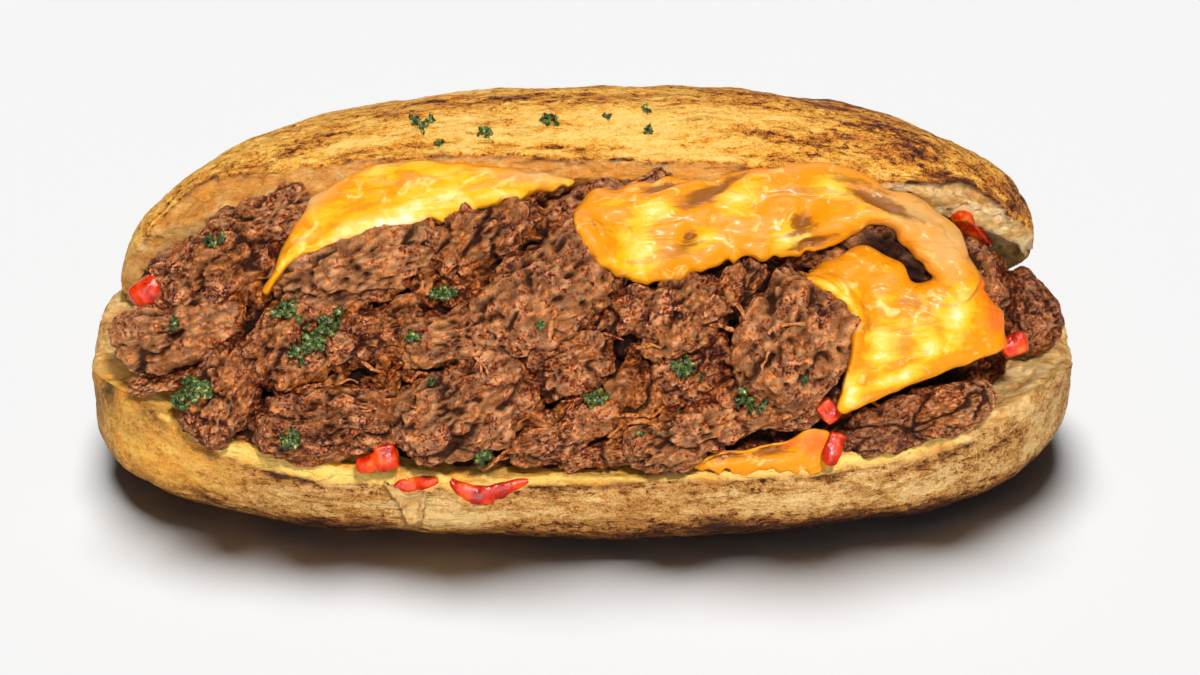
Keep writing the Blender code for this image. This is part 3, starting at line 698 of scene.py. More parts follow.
def meatRelief(points, seed, amount=1.0):  # folds, fissures and granules, and how much painted shade each point's crease gets
    bend = np.stack([layered(points, 7 * mm, seed + k, 2) for k in (1, 2, 3)], axis=1) * 1.6 * mm
    spots = points + bend
    folds = np.abs(waves(spots, (8 * mm, 3.2 * mm, 3.2 * mm), seed + 4))
    small = np.abs(waves(spots, (3.6 * mm, 1.7 * mm, 1.7 * mm), seed + 5))
    split = waves(spots, (15 * mm, 8 * mm, 8 * mm), seed + 6)
    near, second = cellGaps(spots, (1.6 * mm, 1.2 * mm, 1.2 * mm), seed + 7)
    inner, outer = cellGaps(spots + 0.8 * mm * bend / (1.6 * mm), (6.5 * mm, 3.4 * mm, 3.4 * mm), seed + 9)
    crack = bell(outer - inner, 0.075) * smoothStep(-0.5, 0.2, waves(points, 9 * mm, seed + 11))
    granule = smoothStep(0.0, 0.40, second - near)
    cleft = bell(split, 0.055)
    rise = beefSizes["fold"] * (np.minimum(folds, 0.6) / 0.6 - 0.55) + 0.30 * beefSizes["fold"] * (small - 0.3)
    rise += beefSizes["granule"] * (granule - 0.7) + beefSizes["fine"] * waves(points, 0.9 * mm, seed + 8)
    rise += beefSizes["plate"] * (0.45 - inner) - beefSizes["crack"] * crack - beefSizes["fissure"] * cleft
    # painted shade in the cracks, the folds and between the granules
    crease = np.maximum(np.maximum(cleft, 0.85 * crack), 0.6 * bell(folds, 0.08))
    crease = np.maximum(crease, 0.45 * bell(small, 0.10))
    return rise * amount, np.maximum(crease, 0.55 * (1 - granule))


def meatPiece(place, halfSizes, seed, relief, detail, amount=1.0):
    points, balls, lumps, faces = lumpShell(halfSizes, seed, relief, detail)
    rise, crease = meatRelief(points, seed * 3.7, amount)
    return putIn(place, points + lumps + balls * rise[:, None]), faces, crease


def beefShells():
    shells = []
    for index, (u, v, lift, length, width, thick, turn) in enumerate(beefPieces):
        foot = beefSizes["foot"] * float(smoothStep(17, 7, v))
        height = faceHeight(u * mm, v * mm) + lift * mm - beefSizes["sink"] - foot
        place = facePlace(u * mm, v * mm, height, turn)
        sizes = [size * beefSizes["swell"] * mm for size in (length, width, thick)]
        amount = min(1.0, 0.35 + width / 12)
        shells.append(meatPiece(place, sizes, index + 1, beefSizes["relief"], beefSizes["detail"], amount))
    return shells


def coreShell():
    rings = []
    reach = 91 * mm
    middle = Vector((34, -25))
    for s in endSpots(150):
        size = share(s, 3)
        back = 0.6 * faceSizes["rounding"] * rollSizes["halfWidth"] * (
            1 - share(s * reach / rollSizes["halfLength"], rollSizes["outline"]))
        ring = []
        for corner, following in zip(coreSection, coreSection[1:] + coreSection[:1]):
            for step in range(12):
                spot = Vector(corner).lerp(Vector(following), step / 12)
                spot = middle + (spot - middle) * size
                ring.append(onFace(s * reach, spot.x * mm, spot.y * mm - back))
        rings.append(ring)
    return lofted(rings, onFace(-reach, 32 * mm, -30 * mm), onFace(reach, 32 * mm, -30 * mm))


def makeCore():
    piece = makePiece("beefCore", *coreShell())
    faceOutward(piece)
    points, normals = pointsOf(piece.data), normalsOf(piece.data)
    rise, crease = meatRelief(points, 90.0)
    points = points + normals * (0.9 * rise + 1.3 * mm * waves(points, 9 * mm, 95))[:, None]
    points[:, 2] = np.maximum(points[:, 2], 2 * mm)
    setPoints(piece.data, points)
    return piece, points, crease


chance = random.Random(beefSizes["seed"])
shells = beefShells()
core, corePoints, coreCrease = makeCore()
stripPlace = facePlace(69 * mm, 12 * mm, faceHeight(69 * mm, 12 * mm) - 6 * mm, 17)
stripShell = meatPiece(stripPlace, (17 * mm, 6 * mm, 6.5 * mm), 40, 1.2 * mm, 6, 0.55)
endPlace = facePlace(92.5 * mm, 34 * mm, -24 * mm, -55)
endShell = meatPiece(endPlace, (9.5 * mm, 7.5 * mm, 8 * mm), 41, 1.2 * mm, 5, 0.5)

# a height map of the filling's face, seen straight on: it finds the hollows and carries the cheese
mapStep = 0.45 * mm
mapU, mapV = -106 * mm, -14 * mm
mapSize = (472, 214)


def mapCells(u, v):
    a = np.clip(np.rint((u - mapU) / mapStep).astype(int), 0, mapSize[0] - 1)
    return a, np.clip(np.rint((v - mapV) / mapStep).astype(int), 0, mapSize[1] - 1)


def aroundCells(grid):  # each cell's four neighbours and itself
    padded = np.pad(grid, 1, mode="edge")
    return [padded[:-2, 1:-1], padded[2:, 1:-1], padded[1:-1, :-2], padded[1:-1, 2:], grid]


def blurred(grid, rounds):
    for _ in range(rounds):
        grid = sum(aroundCells(grid)) / 5
    return grid


def widened(grid, rounds):
    for _ in range(rounds):
        grid = np.maximum.reduce(aroundCells(grid))
    return grid


def heightMap(clouds):
    grid = np.full(mapSize, -20 * mm)
    for points in clouds:
        u, v, w = faceCoordinates(points)
        np.maximum.at(grid, mapCells(u, v), w)
    return np.where(grid < -19 * mm, widened(grid, 2), grid)


def scrapShells():  # small bits that lie in the hollows between the pieces
    smooth = blurred(beefTop, 4)
    hollow = blurred(beefTop, 120) - smooth
    a, b = np.nonzero((hollow > 1.2 * mm) & (hollow < 12 * mm))
    u, v = mapU + a * mapStep, mapV + b * mapStep
    inside = (np.abs(u + 12 * mm) < 74 * mm) & (v > 6 * mm) & (v < 54 * mm - 0.1 * np.abs(u))
    spots = np.flatnonzero(inside)
    scraps = []
    for index, spot in enumerate(chance.sample(spots.tolist(), beefSizes["scraps"])):
        length, width = chance.uniform(2.4, 5.0), chance.uniform(1.5, 2.6)
        height = float(smooth[a[spot], b[spot]]) + chance.uniform(-0.6, 1.6) * mm
        place = facePlace(float(u[spot]), float(v[spot]), height, chance.gauss(28, 35))
        scraps.append(meatPiece(place, (length * mm, width * mm, width * mm), 100 + index, 1.0 * mm, 3, 0.6))
    return scraps


solidTops = [shell[0] for shell in shells] + [corePoints, stripShell[0]]
beefTop = heightMap(solidTops)
scraps = scrapShells()
beefTop = heightMap(solidTops + [scrap[0] for scrap in scraps])
beefNear, beefWide, beefLevel = blurred(beefTop, 22), blurred(beefTop, 64), blurred(beefTop, 120)


def depthsIn(points):  # painted shade by how far a point lies under the filling's mean level, and painted highlight where it stands over it, but not round its back
    u, v, w = faceCoordinates(points)
    cells = mapCells(u, v)
    below = beefLevel[cells] - w
    inside = (1 - smoothStep(9 * mm, 13 * mm, below)) * (1 - smoothStep(74 * mm, 84 * mm, np.abs(u)))
    # painted shade in the hollows and in narrow gaps between the pieces
    deep = smoothStep(0.2 * mm, 4.2 * mm, below) * inside
    deep = np.maximum(deep, 0.9 * spotField(u, v, underCheese))
    narrow = smoothStep(0.15 * mm, 1.3 * mm, beefNear[cells] - w)
    narrow = np.maximum(narrow, smoothStep(0.5 * mm, 2.4 * mm, beefWide[cells] - w)) * inside
    return deep, narrow, smoothStep(0.2 * mm, 3.2 * mm, -below)


def beefMaterial():
    look = Finish("browned beef", 0.5, Specular_IOR_Level=0.18,
                  Subsurface_Weight=0.03, Subsurface_Radius=(0.003, 0.0008, 0.0004), Subsurface_Scale=1.0)
    area = look.grain(120, 5, 0.65)
    flesh = look.grain(560, 6, 0.80, None, 0.7)
    grit = look.grain(1700, 4, 0.75)
    fibre = look.grain(800, 4, 0.7, (0.35, 1, 1))
    pits = look.cells(900, "SMOOTH_F1")
    # painted glints: pale specks on the crests, standing in for highlights
    glints = look.times(look.between(grit, 0.53, 0.61), look.between("raised", 0.0, 0.6, 0.05, 0.90))
    # the crests and the granules' tops are painted lighter and the grooves between the granules darker, as
    # light and shade
    level = look.total(
        look.between(flesh, 0.40, 0.60, -0.05, 1.22), look.between(area, 0.38, 0.62, -0.18, 0.18),
        look.between("tone", 0, 1, -0.16, 0.20), look.between(grit, 0.38, 0.62, -0.30, 0.30),
        look.between("raised", 0, 1, -0.12, 0.24), look.between(pits, 0.1, 0.6, 0.10, -0.20))
    colour = look.ramp(level, (0.0, (0.090, 0.008, 0.001)), (0.22, (0.34, 0.044, 0.004)),
                       (0.45, (0.78, 0.150, 0.018)), (0.70, (1.0, 0.29, 0.060)), (1.0, (1.0, 0.44, 0.16)))
    colour = look.mix(glints, colour, (1.0, 0.62, 0.42))
    colour = look.tinted(
        colour, (look.between(area, 0.47, 0.60, 0.0, 0.7), look.mix(0.5, colour, (0.88, 0.24, 0.012))),
        # darker: browned on the end piece, and towards the strip's left end
        (look.between("seared", 0.0, 1.0, 0.0, 0.75), look.mix(0.55, colour, (0.085, 0.022, 0.016))),
        # painted shade in the creases
        (look.between("crease", 0.10, 0.74, 0.0, 0.96), (0.030, 0.0045, 0.0008)),
        # painted shade in the deep hollows
        (look.between("deep", 0.02, 0.75, 0.0, 0.94), (0.016, 0.003, 0.0008)))
    relief = look.total(flesh, look.times(pits, -0.6), look.times(fibre, 0.5))
    normal = look.bump(grit, 0.0008, 1.0, look.bump(relief, 0.0018, 1.0))
    rough = look.total(look.between(flesh, 0.38, 0.62, 0.54, 0.28), look.times(look.field("deep"), 0.35))
    return look.finish(colour, normal, rough)


def finishBeef(piece, crease, tone, seared):
    # painted shade in creases and hollows, painted highlight on the crests
    deep, narrow, raised = depthsIn(pointsOf(piece.data))
    setFields(piece.data, crease=np.maximum(crease, narrow), deep=deep, raised=raised, tone=tone, seared=seared)
    piece.data.materials.append(beefLook)


def beefFrom(name, members):  # one piece of the scene from several shells, each with a tone of its own
    piece = makePiece(name, *stacked([shell[:2] for shell in members]))
    tone = np.concatenate([np.full(len(shell[0]), chance.random()) for shell in members])
    finishBeef(piece, np.concatenate([shell[2] for shell in members]), tone, 0)
    return piece


beefLook = beefMaterial()
beefPiecesMade = [beefFrom(f"beefPieces{group + 1}", shells[group::4]) for group in range(4)]
beefPiecesMade.append(beefFrom("beefScraps", scraps))
finishBeef(core, coreCrease, 0.3, 0.2)
beefStrip = makePiece("beefStrip", *stripShell[:2])
# the strip is painted darker towards its left end
finishBeef(beefStrip, stripShell[2], 0.6, smoothStep(78 * mm, 60 * mm, stripShell[0][:, 0]))
beefEnd = makePiece("beefEnd", *endShell[:2])
finishBeef(beefEnd, endShell[2], 0.4, 0.7)
print("beef", sum(len(piece.data.polygons) for piece in beefPiecesMade))


def scatterTree(name, sizes, makeShape, sizedBy, rumple, rumpleScale):  # copies of a shape, then rumpled
    tree = bpy.data.node_groups.new(name, "GeometryNodeTree")
    sockets = [("Points", "Geometry"), *((size, "Float") for size in sizes), ("Look", "Material")]
    for label, kind in sockets:
        tree.interface.new_socket(label, in_out="INPUT", socket_type=f"NodeSocket{kind}")
    tree.interface.new_socket("Mesh", in_out="OUTPUT", socket_type="NodeSocketGeometry")
    given, result = tree.nodes.new("NodeGroupInput").outputs, tree.nodes.new("NodeGroupOutput")

    def add(kind, inputs, output=0, **settings):
        return addNode(tree, kind, inputs, **settings).outputs[output]

    facing = add("GeometryNodeInputNamedAttribute", {"Name": "facing"}, data_type="FLOAT_VECTOR")
    size = add("GeometryNodeInputNamedAttribute", {"Name": "size"}, data_type="FLOAT")
    if sizedBy:
        size = add("ShaderNodeMath", {0: size, 1: given[sizedBy]}, operation="MULTIPLY")
    turn = add("FunctionNodeEulerToRotation", {0: facing})
    shape = makeShape(add, given)
    copies = {"Points": given["Points"], "Instance": shape, "Rotation": turn, "Scale": size}
    real = add("GeometryNodeRealizeInstances", {"Geometry": add("GeometryNodeInstanceOnPoints", copies)})
    place = add("GeometryNodeInputPosition", {})
    rough = add("ShaderNodeTexNoise", {"Vector": place, "Scale": rumpleScale, "Detail": 2.0}, "Color")
    centred = add("ShaderNodeVectorMath", {0: rough, 1: (0.5, 0.5, 0.5)}, operation="SUBTRACT")
    moved = add("ShaderNodeVectorMath", {0: centred, "Scale": given[rumple]}, operation="SCALE")
    bent = add("GeometryNodeSetPosition", {"Geometry": real, "Offset": moved})
    feed(tree, result, {0: add("GeometryNodeSetMaterial", {"Geometry": bent, "Material": given["Look"]})})
    return tree


def grown(name, spots, turns, sizes, tree, values):  # runs a tree on a cloud of points
    mesh = bpy.data.meshes.new(name)
    mesh.from_pydata([tuple(p) for p in spots], [], [])
    facing = mesh.attributes.new("facing", "FLOAT_VECTOR", "POINT")
    facing.data.foreach_set("vector", np.ascontiguousarray(turns, dtype=np.float32).ravel())
    setFields(mesh, size=sizes)
    piece = inScene(name, mesh)
    modifier = piece.modifiers.new(name, "NODES")
    modifier.node_group = tree
    for item in tree.interface.items_tree:
        if item.in_out == "INPUT" and item.name in values:
            modifier[item.identifier] = values[item.name]
    applied(piece)
    return piece


shredSizes = {"Length": 7 * mm, "Width": 0.42 * mm, "Bend": 1.4 * mm, "Crimp": 2.6 * mm}
shredCount = 56


def strand(add, given):  # a thin bent rod, as long and as wide as the inputs say
    half, less = (add("ShaderNodeMath", {0: given["Length"], 1: part}, operation="MULTIPLY")
                  for part in (0.5, -0.5))
    path = add("GeometryNodeCurveQuadraticBezier", {
        "Resolution": 12, "Start": add("ShaderNodeCombineXYZ", {0: less}),
        "Middle": add("ShaderNodeCombineXYZ", {1: given["Bend"], 2: given["Bend"]}),
        "End": add("ShaderNodeCombineXYZ", {0: half})})
    ring = add("GeometryNodeCurvePrimitiveCircle", {"Resolution": 7, "Radius": given["Width"]})
    return add("GeometryNodeCurveToMesh", {"Curve": path, "Profile Curve": ring, "Fill Caps": True})


def lieOn(u, v, lift):  # points on the beef with the way its face leans there
    a, b = mapCells(u, v)
    smooth = blurred(widened(beefTop, 2), 4)
    du = (np.roll(smooth, -2, axis=0) - np.roll(smooth, 2, axis=0))[a, b] / (4 * mapStep)
    dv = (np.roll(smooth, -2, axis=1) - np.roll(smooth, 2, axis=1))[a, b] / (4 * mapStep)
    spots = [onFace(float(x), float(y), float(w)) for x, y, w in zip(u, v, smooth[a, b] + lift)]
    ways = [(outOfFace - min(max(p, -1), 1) * Vector((1, 0, 0)) - min(max(q, -1), 1) * upFace).normalized()
            for p, q in zip(du.tolist(), dv.tolist())]
    return spots, ways


def turnsFor(ways, angles):  # each stands on its way, its length turned by its angle from the roll's
    turns = []
    for way, angle in zip(ways, angles):
        along = Vector((math.cos(angle), 0, 0)) + math.sin(angle) * upFace
        side = way.cross(along).normalized()
        turns.append(tuple(Matrix((side.cross(way), side, way)).transposed().to_euler()))
    return turns


def makeShreds():
    u, v = draw.uniform(-86 * mm, 62 * mm, 2600), draw.uniform(2 * mm, 52 * mm, 2600)
    a, b = mapCells(u, v)
    sunken = (beefLevel - blurred(beefTop, 3))[a, b]
    uncovered = v < 60 * mm - np.abs(u - 20 * mm) * 0.5
    kept = np.flatnonzero((sunken > 0.3 * mm) & (sunken < 4 * mm) & uncovered)[:shredCount]
    spots, ways = lieOn(u[kept], v[kept], -0.9 * mm)
    angles = draw.normal(0.45, 0.7, len(kept)).tolist()
    sizes = draw.uniform(0.45, 1.15, len(kept))
    tree = scatterTree("shreds", shredSizes, strand, None, "Crimp", 260.0)
    piece = grown("beefShreds", spots, turnsFor(ways, angles), sizes, tree, {**shredSizes, "Look": beefLook})
    finishBeef(piece, 0, 0.3, 0)
    return piece


shreds = makeShreds()
print("shreds", len(shreds.data.polygons))


# the melted cheese, draped on the beef
cheeseSizes = {"voxel": 0.45 * mm, "steps": 46, "parts": 12, "follow": 0.55, "ripple": 0.6 * mm}
cheeseEdges = {
    "left": (
        ((-65, 37.6), (-64, 37.0)), ((-61, 46.5), (-58.5, 43.5)), ((-54, 58), (-47, 48)),
        ((-40, 64), (-31, 51.5)), ((-24, 64.7), (-22.5, 54)), ((-10.4, 62.6), (-11.5, 57)),
        ((-0.6, 61), (-0.8, 60.2)),
    ),
    "upper": (
        ((-2, 54.4), (-1.4, 49.5)), ((4, 58.5), (4.5, 42)), ((16, 61), (15.5, 39.4)), ((32, 61.8), (31, 44)),
        ((50, 64.4), (47, 45.8)), ((64, 59), (61, 51)), ((74.5, 53.2), (68.5, 44.5)), ((82, 39.6), (77, 34)),
    ),
    "lower": (
        ((44.8, 40.5), (45.4, 39.5)), ((54, 46.5), (53, 34)), ((63, 45), (54.5, 26)), ((69, 40), (53, 18.5)),
        ((80.5, 42), (53, 13)), ((86.5, 33), (66, 18.5)), ((88, 27.5), (86, 25.8)),
    ),
    "front": (
        ((22, 2.6), (22.6, 1.4)), ((29, 5.2), (28.5, 0.9)), ((36.6, 6.8), (36, 0.9)),
        ((42.5, 8.3), (42, 1.1)), ((47.5, 10.5), (47.5, 1.6)), ((51, 9.5), (51.5, 2.4)),
    ),
}
# pale cream patches on the cheese, partly painted highlight
creamSpots = (
    (-29, 56, 10, 3.5, 8), (-38, 52, 7, 3, 20), (-50, 47, 5, 2, 35), (-18, 57.5, 6, 2, 0), (31, 57, 6, 3.5, 30),
    (12, 46.5, 4, 5, 0), (51, 59, 5, 3, 0), (24, 49, 5, 2.5, 20), (14, 54, 5, 3, 30), (76.5, 33, 3.5, 8, -10),
    (61, 27, 3, 5, 0), (55, 17, 2.5, 6, 0), (52, 38, 4, 2.5, -20), (71, 27, 3, 4, 0), (42, 49, 4, 2.5, 0),
    (64, 20.5, 8, 1.6, 22),
)
brownSpots = (
    (44.8, 52.5, 3.0, 2.0, 60), (22, 49.5, 2.6, 1.6, 40), (27, 59.3, 7, 1.6, 32), (60, 57, 6, 1.6, -25),
    (47, 47.5, 4, 1.4, 15), (18, 60.5, 5, 1.2, 20), (30, 4.2, 5, 0.9, 8), (39, 5.6, 4, 1.2, 10),
)
drabSpots = ((68, 54, 8, 4, -25), (75, 48, 5, 5, 0), (-8, 62, 6, 2, 0), (-55, 57, 6, 2, 40))
redSpots = (
    (85, 33, 3, 6, 15), (83, 40, 2.5, 5, 0), (88, 28, 3, 3, 0), (48, 7, 3.4, 3, 30), (43, 7.5, 3, 1.6, 20),
)

cheeseGround = blurred(widened(beefTop, 2), 10)


def smoothPath(places, parts):
    path = []
    last = len(places) - 1
    for i in range(last):
        before, start, end, after = (Vector(places[min(max(k, 0), last)]) for k in (i - 1, i, i + 1, i + 2))
        for t in (step / parts for step in range(parts)):
            bend = t * (end - before) + t**2 * (2 * before - 5 * start + 4 * end - after)
            path.append(start + 0.5 * (bend + t**3 * (3 * start - before - 3 * end + after)))
    return path + [Vector(places[last])]


def cheeseShell(name, lift, thick, ragged):
    edges = cheeseEdges[name]
    near = smoothPath([pair[0] for pair in edges], cheeseSizes["parts"])
    far = smoothPath([pair[1] for pair in edges], cheeseSizes["parts"])
    rings, tips = [], []
    for k in range(len(near)):
        start, end = near[k], far[k]
        side = (end - start).normalized()
        start = start + side * ragged * noise.noise(Vector((start.x / 5, start.y / 5, 1)))
        frayed = noise.noise(Vector((end.x / 3.5, end.y / 3.5, 7))) + noise.noise(Vector((end.x / 1.6, 3, 9)))
        end = end + side * ragged * frayed
        if k in (0, len(near) - 1):
            u, v = start.lerp(end, 0.5) * mm
            tips.append(onFace(u, v, faceHeight(u, v) + lift))
            continue
        ring = []
        for turn in evenly(0, 2 * math.pi, cheeseSizes["steps"] + 1)[:-1]:
            u, v = start.lerp(end, 0.5 - 0.5 * signedPower(math.cos(turn), 0.7)) * mm
            lean = signedPower(math.sin(turn), 0.85)
            height = faceHeight(u, v) + lift + thick * lean
            if lean > 0:
                a, b = mapCells(np.array([u]), np.array([v]))
                ground = float(cheeseGround[a, b][0]) - faceHeight(u, v)
                ripple = noise.fractal(Vector((u / (11 * mm), v / (7 * mm), 2.0)), 0.8, 2.0, 3)
                drape = cheeseSizes["follow"] * max(-4 * mm, min(4 * mm, ground - 2.5 * mm))
                height += lean * (drape + cheeseSizes["ripple"] * ripple)
            ring.append(onFace(u, v, height))
        rings.append(ring)
    return lofted(rings, tips[0], tips[1])


def makeCheese(name, shells, ripe):
    piece = makePiece(name, *stacked(shells))
    faceOutward(piece)
    fused(piece, cheeseSizes["voxel"])
    mesh = piece.data
    points = relaxed(pointsOf(mesh), linksOf(mesh), 8)
    setPoints(mesh, points)
    u, v, _ = faceCoordinates(points)
    front = smoothStep(-0.1, 0.5, normalsOf(mesh) @ np.array(outOfFace))
    cream, brown, drab, red = (
        spotField(u, v, spots) * front for spots in (creamSpots, brownSpots, drabSpots, redSpots))
    flow = 0.32 * mm * layered(points, 8 * mm, 2, 2)
    flow += 0.10 * mm * layered(points, (7 * mm, 2.6 * mm, 2.6 * mm), 5, 2)
    flow -= 0.20 * mm * bell(layered(points, (13 * mm, 6 * mm, 6 * mm), 8, 2), 0.14)
    setPoints(mesh, points + normalsOf(mesh) * (flow * front - 1.6 * mm * brown)[:, None])
    # painted shade: the cheese darker amber in its hollows
    hollow = smoothStep(-0.2 * mm, 0.7 * mm, hollowness(mesh, 40))
    rim = 1 - smoothStep(0.30, 0.85, normalsOf(mesh) @ np.array(outOfFace))
    setFields(mesh, hollow=hollow, cream=cream - ripe * (1 - cream), rim=rim, brown=brown, drab=drab, red=red)
    return piece


def cheeseMaterial():
    look = Finish("melted cheese", 0.45, Specular_IOR_Level=0.16, Coat_Weight=0.045, Coat_Roughness=0.14,
                  Subsurface_Weight=0.12, Subsurface_Radius=(0.004, 0.0022, 0.0006), Subsurface_Scale=1.0)
    flow = look.grain(60, 4, 0.55, (0.6, 1, 1), 1.2)
    fine = look.grain(230, 4, 0.6, None, 0.8)
    strands = look.grain(230, 5, 0.7, (0.22, 1, 1), 0.8)
    swirl = look.grain(140, 5, 0.62, (0.45, 1, 1), 1.6)
    # pale cream with painted highlight, from the patches and flowing noise
    creamy = look.total(
        look.times(look.field("cream"), 0.72), look.between(flow, 0.40, 0.70, -0.20, 0.30),
        look.between(swirl, 0.38, 0.62, -0.20, 0.20), look.between(strands, 0.40, 0.60, -0.13, 0.13))
    torn = look.total(look.field("brown"), look.between(strands, 0.36, 0.64, -0.45, 0.45))
    reddened = look.total(look.field("red"), look.between(fine, 0.3, 0.7, -0.3, 0.3))
    colour = look.tinted(
        look.ramp(creamy, (0.0, (0.62, 0.21, 0.002)), (0.15, (0.69, 0.29, 0.004)), (0.38, (0.73, 0.36, 0.009)),
                  (0.62, (0.77, 0.43, 0.060)), (0.82, (0.83, 0.55, 0.20)), (1.0, (0.90, 0.69, 0.44))),
        (look.between(fine, 0.58, 0.72, 0.0, 0.5), (0.94, 0.76, 0.30)),
        # painted shade in the hollows
        (look.between("hollow", 0.45, 1.0, 0.0, 0.75), (0.55, 0.15, 0.004)),
        (look.between("rim", 0.1, 0.9, 0.0, 0.70), (0.68, 0.22, 0.003)),
        (look.times(look.field("drab"), 0.75), (0.52, 0.32, 0.12)),
        (look.between(torn, 0.25, 0.70, 0.0, 0.9), (0.20, 0.062, 0.008)),
        (look.between(reddened, 0.3, 0.9, 0.0, 0.8), (0.72, 0.11, 0.01)))
    normal = look.bump(look.total(flow, look.times(fine, 0.5)), 0.0010, 0.55)
    return look.finish(colour, normal, look.between(fine, 0.3, 0.7, 0.36, 0.56))


cheeseLook = cheeseMaterial()
cheeseLeft = makeCheese("cheeseLeft", [cheeseShell("left", 0.5 * mm, 4 * mm, 1.2)], -0.28)
cheeseRight = makeCheese("cheeseRight", [cheeseShell("upper", 1.5 * mm, 5 * mm, 1.6),
                                         cheeseShell("lower", 0.5 * mm, 5 * mm, 1.4)], 0.26)
cheeseFront = makeCheese("cheeseFront", [cheeseShell("front", -2.5 * mm, 2.4 * mm, 1.8)], 0.30)
for piece in (cheeseLeft, cheeseRight, cheeseFront):
    piece.data.materials.append(cheeseLook)
print("cheese", len(cheeseLeft.data.polygons), len(cheeseRight.data.polygons))


# the red pepper; each dice: u, v, lift, half length, half width, half thickness, turn
pepperDices = {
    1: ((-88.5, 38, -0.6, 4.3, 3.2, 3.2, 32),),
    2: ((-39.4, 4.4, 1.2, 2.8, 3.3, 2.8, 12), (-42.6, 3.2, 0.9, 3.4, 2.0, 2.4, 16)),
    3: ((50.5, 13.5, 0.2, 2.2, 2.7, 1.3, 40),), 4: ((51.6, 6, -0.4, 2.0, 3.8, 1.5, -20),),
    5: ((88.8, 27.2, 0, 2.6, 2.2, 1.5, 20),),
}
# strips on the crust below the front rim: u, v, half width
pepperStrips = {
    6: ((-38.6, -2.5, 0.5), (-37, -1.9, 1.3), (-34.5, -1.4, 1.7), (-31.5, -0.9, 1.3), (-28.6, -0.5, 0.5)),
    7: ((-27, -0.5, 0.6), (-24.8, -2.0, 1.4), (-21.6, -3.4, 2.0), (-18.6, -3.4, 1.9), (-15.6, -2.3, 1.5),
        (-12.5, -1.1, 1.0), (-10.4, -0.6, 0.4)),
}
pepperRelief = 0.5 * mm
lowerTree, lidTree = (BVHTree.FromPolygons([v.co.copy() for v in half.data.vertices],
                                          [tuple(p.vertices) for p in half.data.polygons])
                      for half in (lowerHalf, upperHalf))


def lidPepperPlace():
    ends = []
    for x, across in ((77.5, 0.90), (85, 0.2)):
        middle, toFront, toCrust = lidFrame(x * mm)
        ends.append(middle + across * lidHalfAt(x * mm) * toFront - 2.4 * mm * toCrust)
    along = (ends[1] - ends[0]).normalized()
    side = along.cross(toCrust).normalized()
    turn = Matrix((along, side, along.cross(side))).transposed().to_4x4()
    return Matrix.Translation((ends[0] + ends[1]) / 2) @ turn, (ends[1] - ends[0]).length / 2


def pepperShell(place, sizes, seed, relief):
    points, balls, lumps, faces = lumpShell(sizes, seed, relief, 5)
    points *= 0.97 * np.abs(balls).max(axis=1)[:, None] ** -0.2
    dent = 0.35 * mm * waves(points, 3.2 * mm, seed) + 0.12 * mm * waves(points, 1.3 * mm, seed + 2)
    return putIn(place, points + lumps + balls * dent[:, None]), faces


def downOn(tree, u, v, start=60 * mm):  # where a line into the filling's face meets a surface, and its way
    return tree.ray_cast(onFace(u, v, start), -outOfFace)[:2]


def pepperStrip(places):  # a thin wavy strip that follows the crust under it
    path = smoothPath([(u, v) for u, v, _ in places], 9)
    widths = np.interp(np.linspace(0, 1, len(path)), np.linspace(0, 1, len(places)), [p[2] for p in places])
    hits = [downOn(lowerTree, spot.x * mm, spot.y * mm) for spot in path]
    rings = []
    for k, spot in enumerate(path):
        near = hits[max(k - 4, 0):k + 5]
        ground = sum((hit[0] for hit in near), Vector()) / len(near)
        way = sum((hit[1] for hit in near), Vector()).normalized()
        ground = ground + (hits[k][0] - ground).project(upFace)
        ahead = (path[min(k + 1, len(path) - 1)] - path[max(k - 1, 0)]).normalized()
        across = way.cross(onFace(ahead.x, ahead.y, 0) - onFace(0, 0, 0)).normalized()
        half = float(widths[k]) * mm * (1 + 0.2 * noise.noise(Vector((spot.x / 3, 0, 3))))
        rings.append([ground + across * half * math.cos(t) + way * 0.55 * mm * math.sin(t)
                      for t in evenly(0, 2 * math.pi, 25)[:-1]])
    return lofted(rings, *(sum(ring, Vector()) / len(ring) for ring in (rings[0], rings[-1])))


def pepperMaterial():
    look = Finish("red pepper", 0.35, Specular_IOR_Level=0.20, Coat_Weight=0.03, Coat_Roughness=0.08,
                  Subsurface_Weight=0.08, Subsurface_Radius=(0.003, 0.0006, 0.0003), Subsurface_Scale=1.0)
    tone = look.grain(300, 4, 0.55)
    colour = look.ramp(tone, (0.33, (0.22, 0.006, 0.001)), (0.46, (0.44, 0.016, 0.001)),
                       (0.60, (0.62, 0.050, 0.002)), (0.76, (0.74, 0.17, 0.012)))
    return look.finish(colour, look.bump(tone, 0.0008, 0.5), look.between(tone, 0.3, 0.7, 0.22, 0.42))


pepperLook = pepperMaterial()
peppers = []
for number, dices in pepperDices.items():
    shapes = []
    for part, (u, v, lift, length, width, thick, turn) in enumerate(dices):
        sizes = (length * mm, width * mm, thick * mm)
        seed = 60 + number + 20 * part
        shapes.append(pepperShell(onFilling(u, v, lift, turn), sizes, seed, pepperRelief))
    peppers.append(makePiece(f"pepperDice{number}", *stacked(shapes)))
fused(peppers[1], 0.3 * mm)
setPoints(peppers[1].data, relaxed(pointsOf(peppers[1].data), linksOf(peppers[1].data), 1))
for number, places in pepperStrips.items():
    strip = makePiece(f"pepperStrip{number}", *pepperStrip(places))
    faceOutward(strip)
    peppers.append(strip)
place, length = lidPepperPlace()
peppers.append(makePiece("pepperStrip8", *pepperShell(place, (length, 2.5 * mm, 1.4 * mm), 68, 0.4 * mm)))
for pepper in peppers:
    pepper.data.materials.append(pepperLook)
print("pepper", len(peppers))


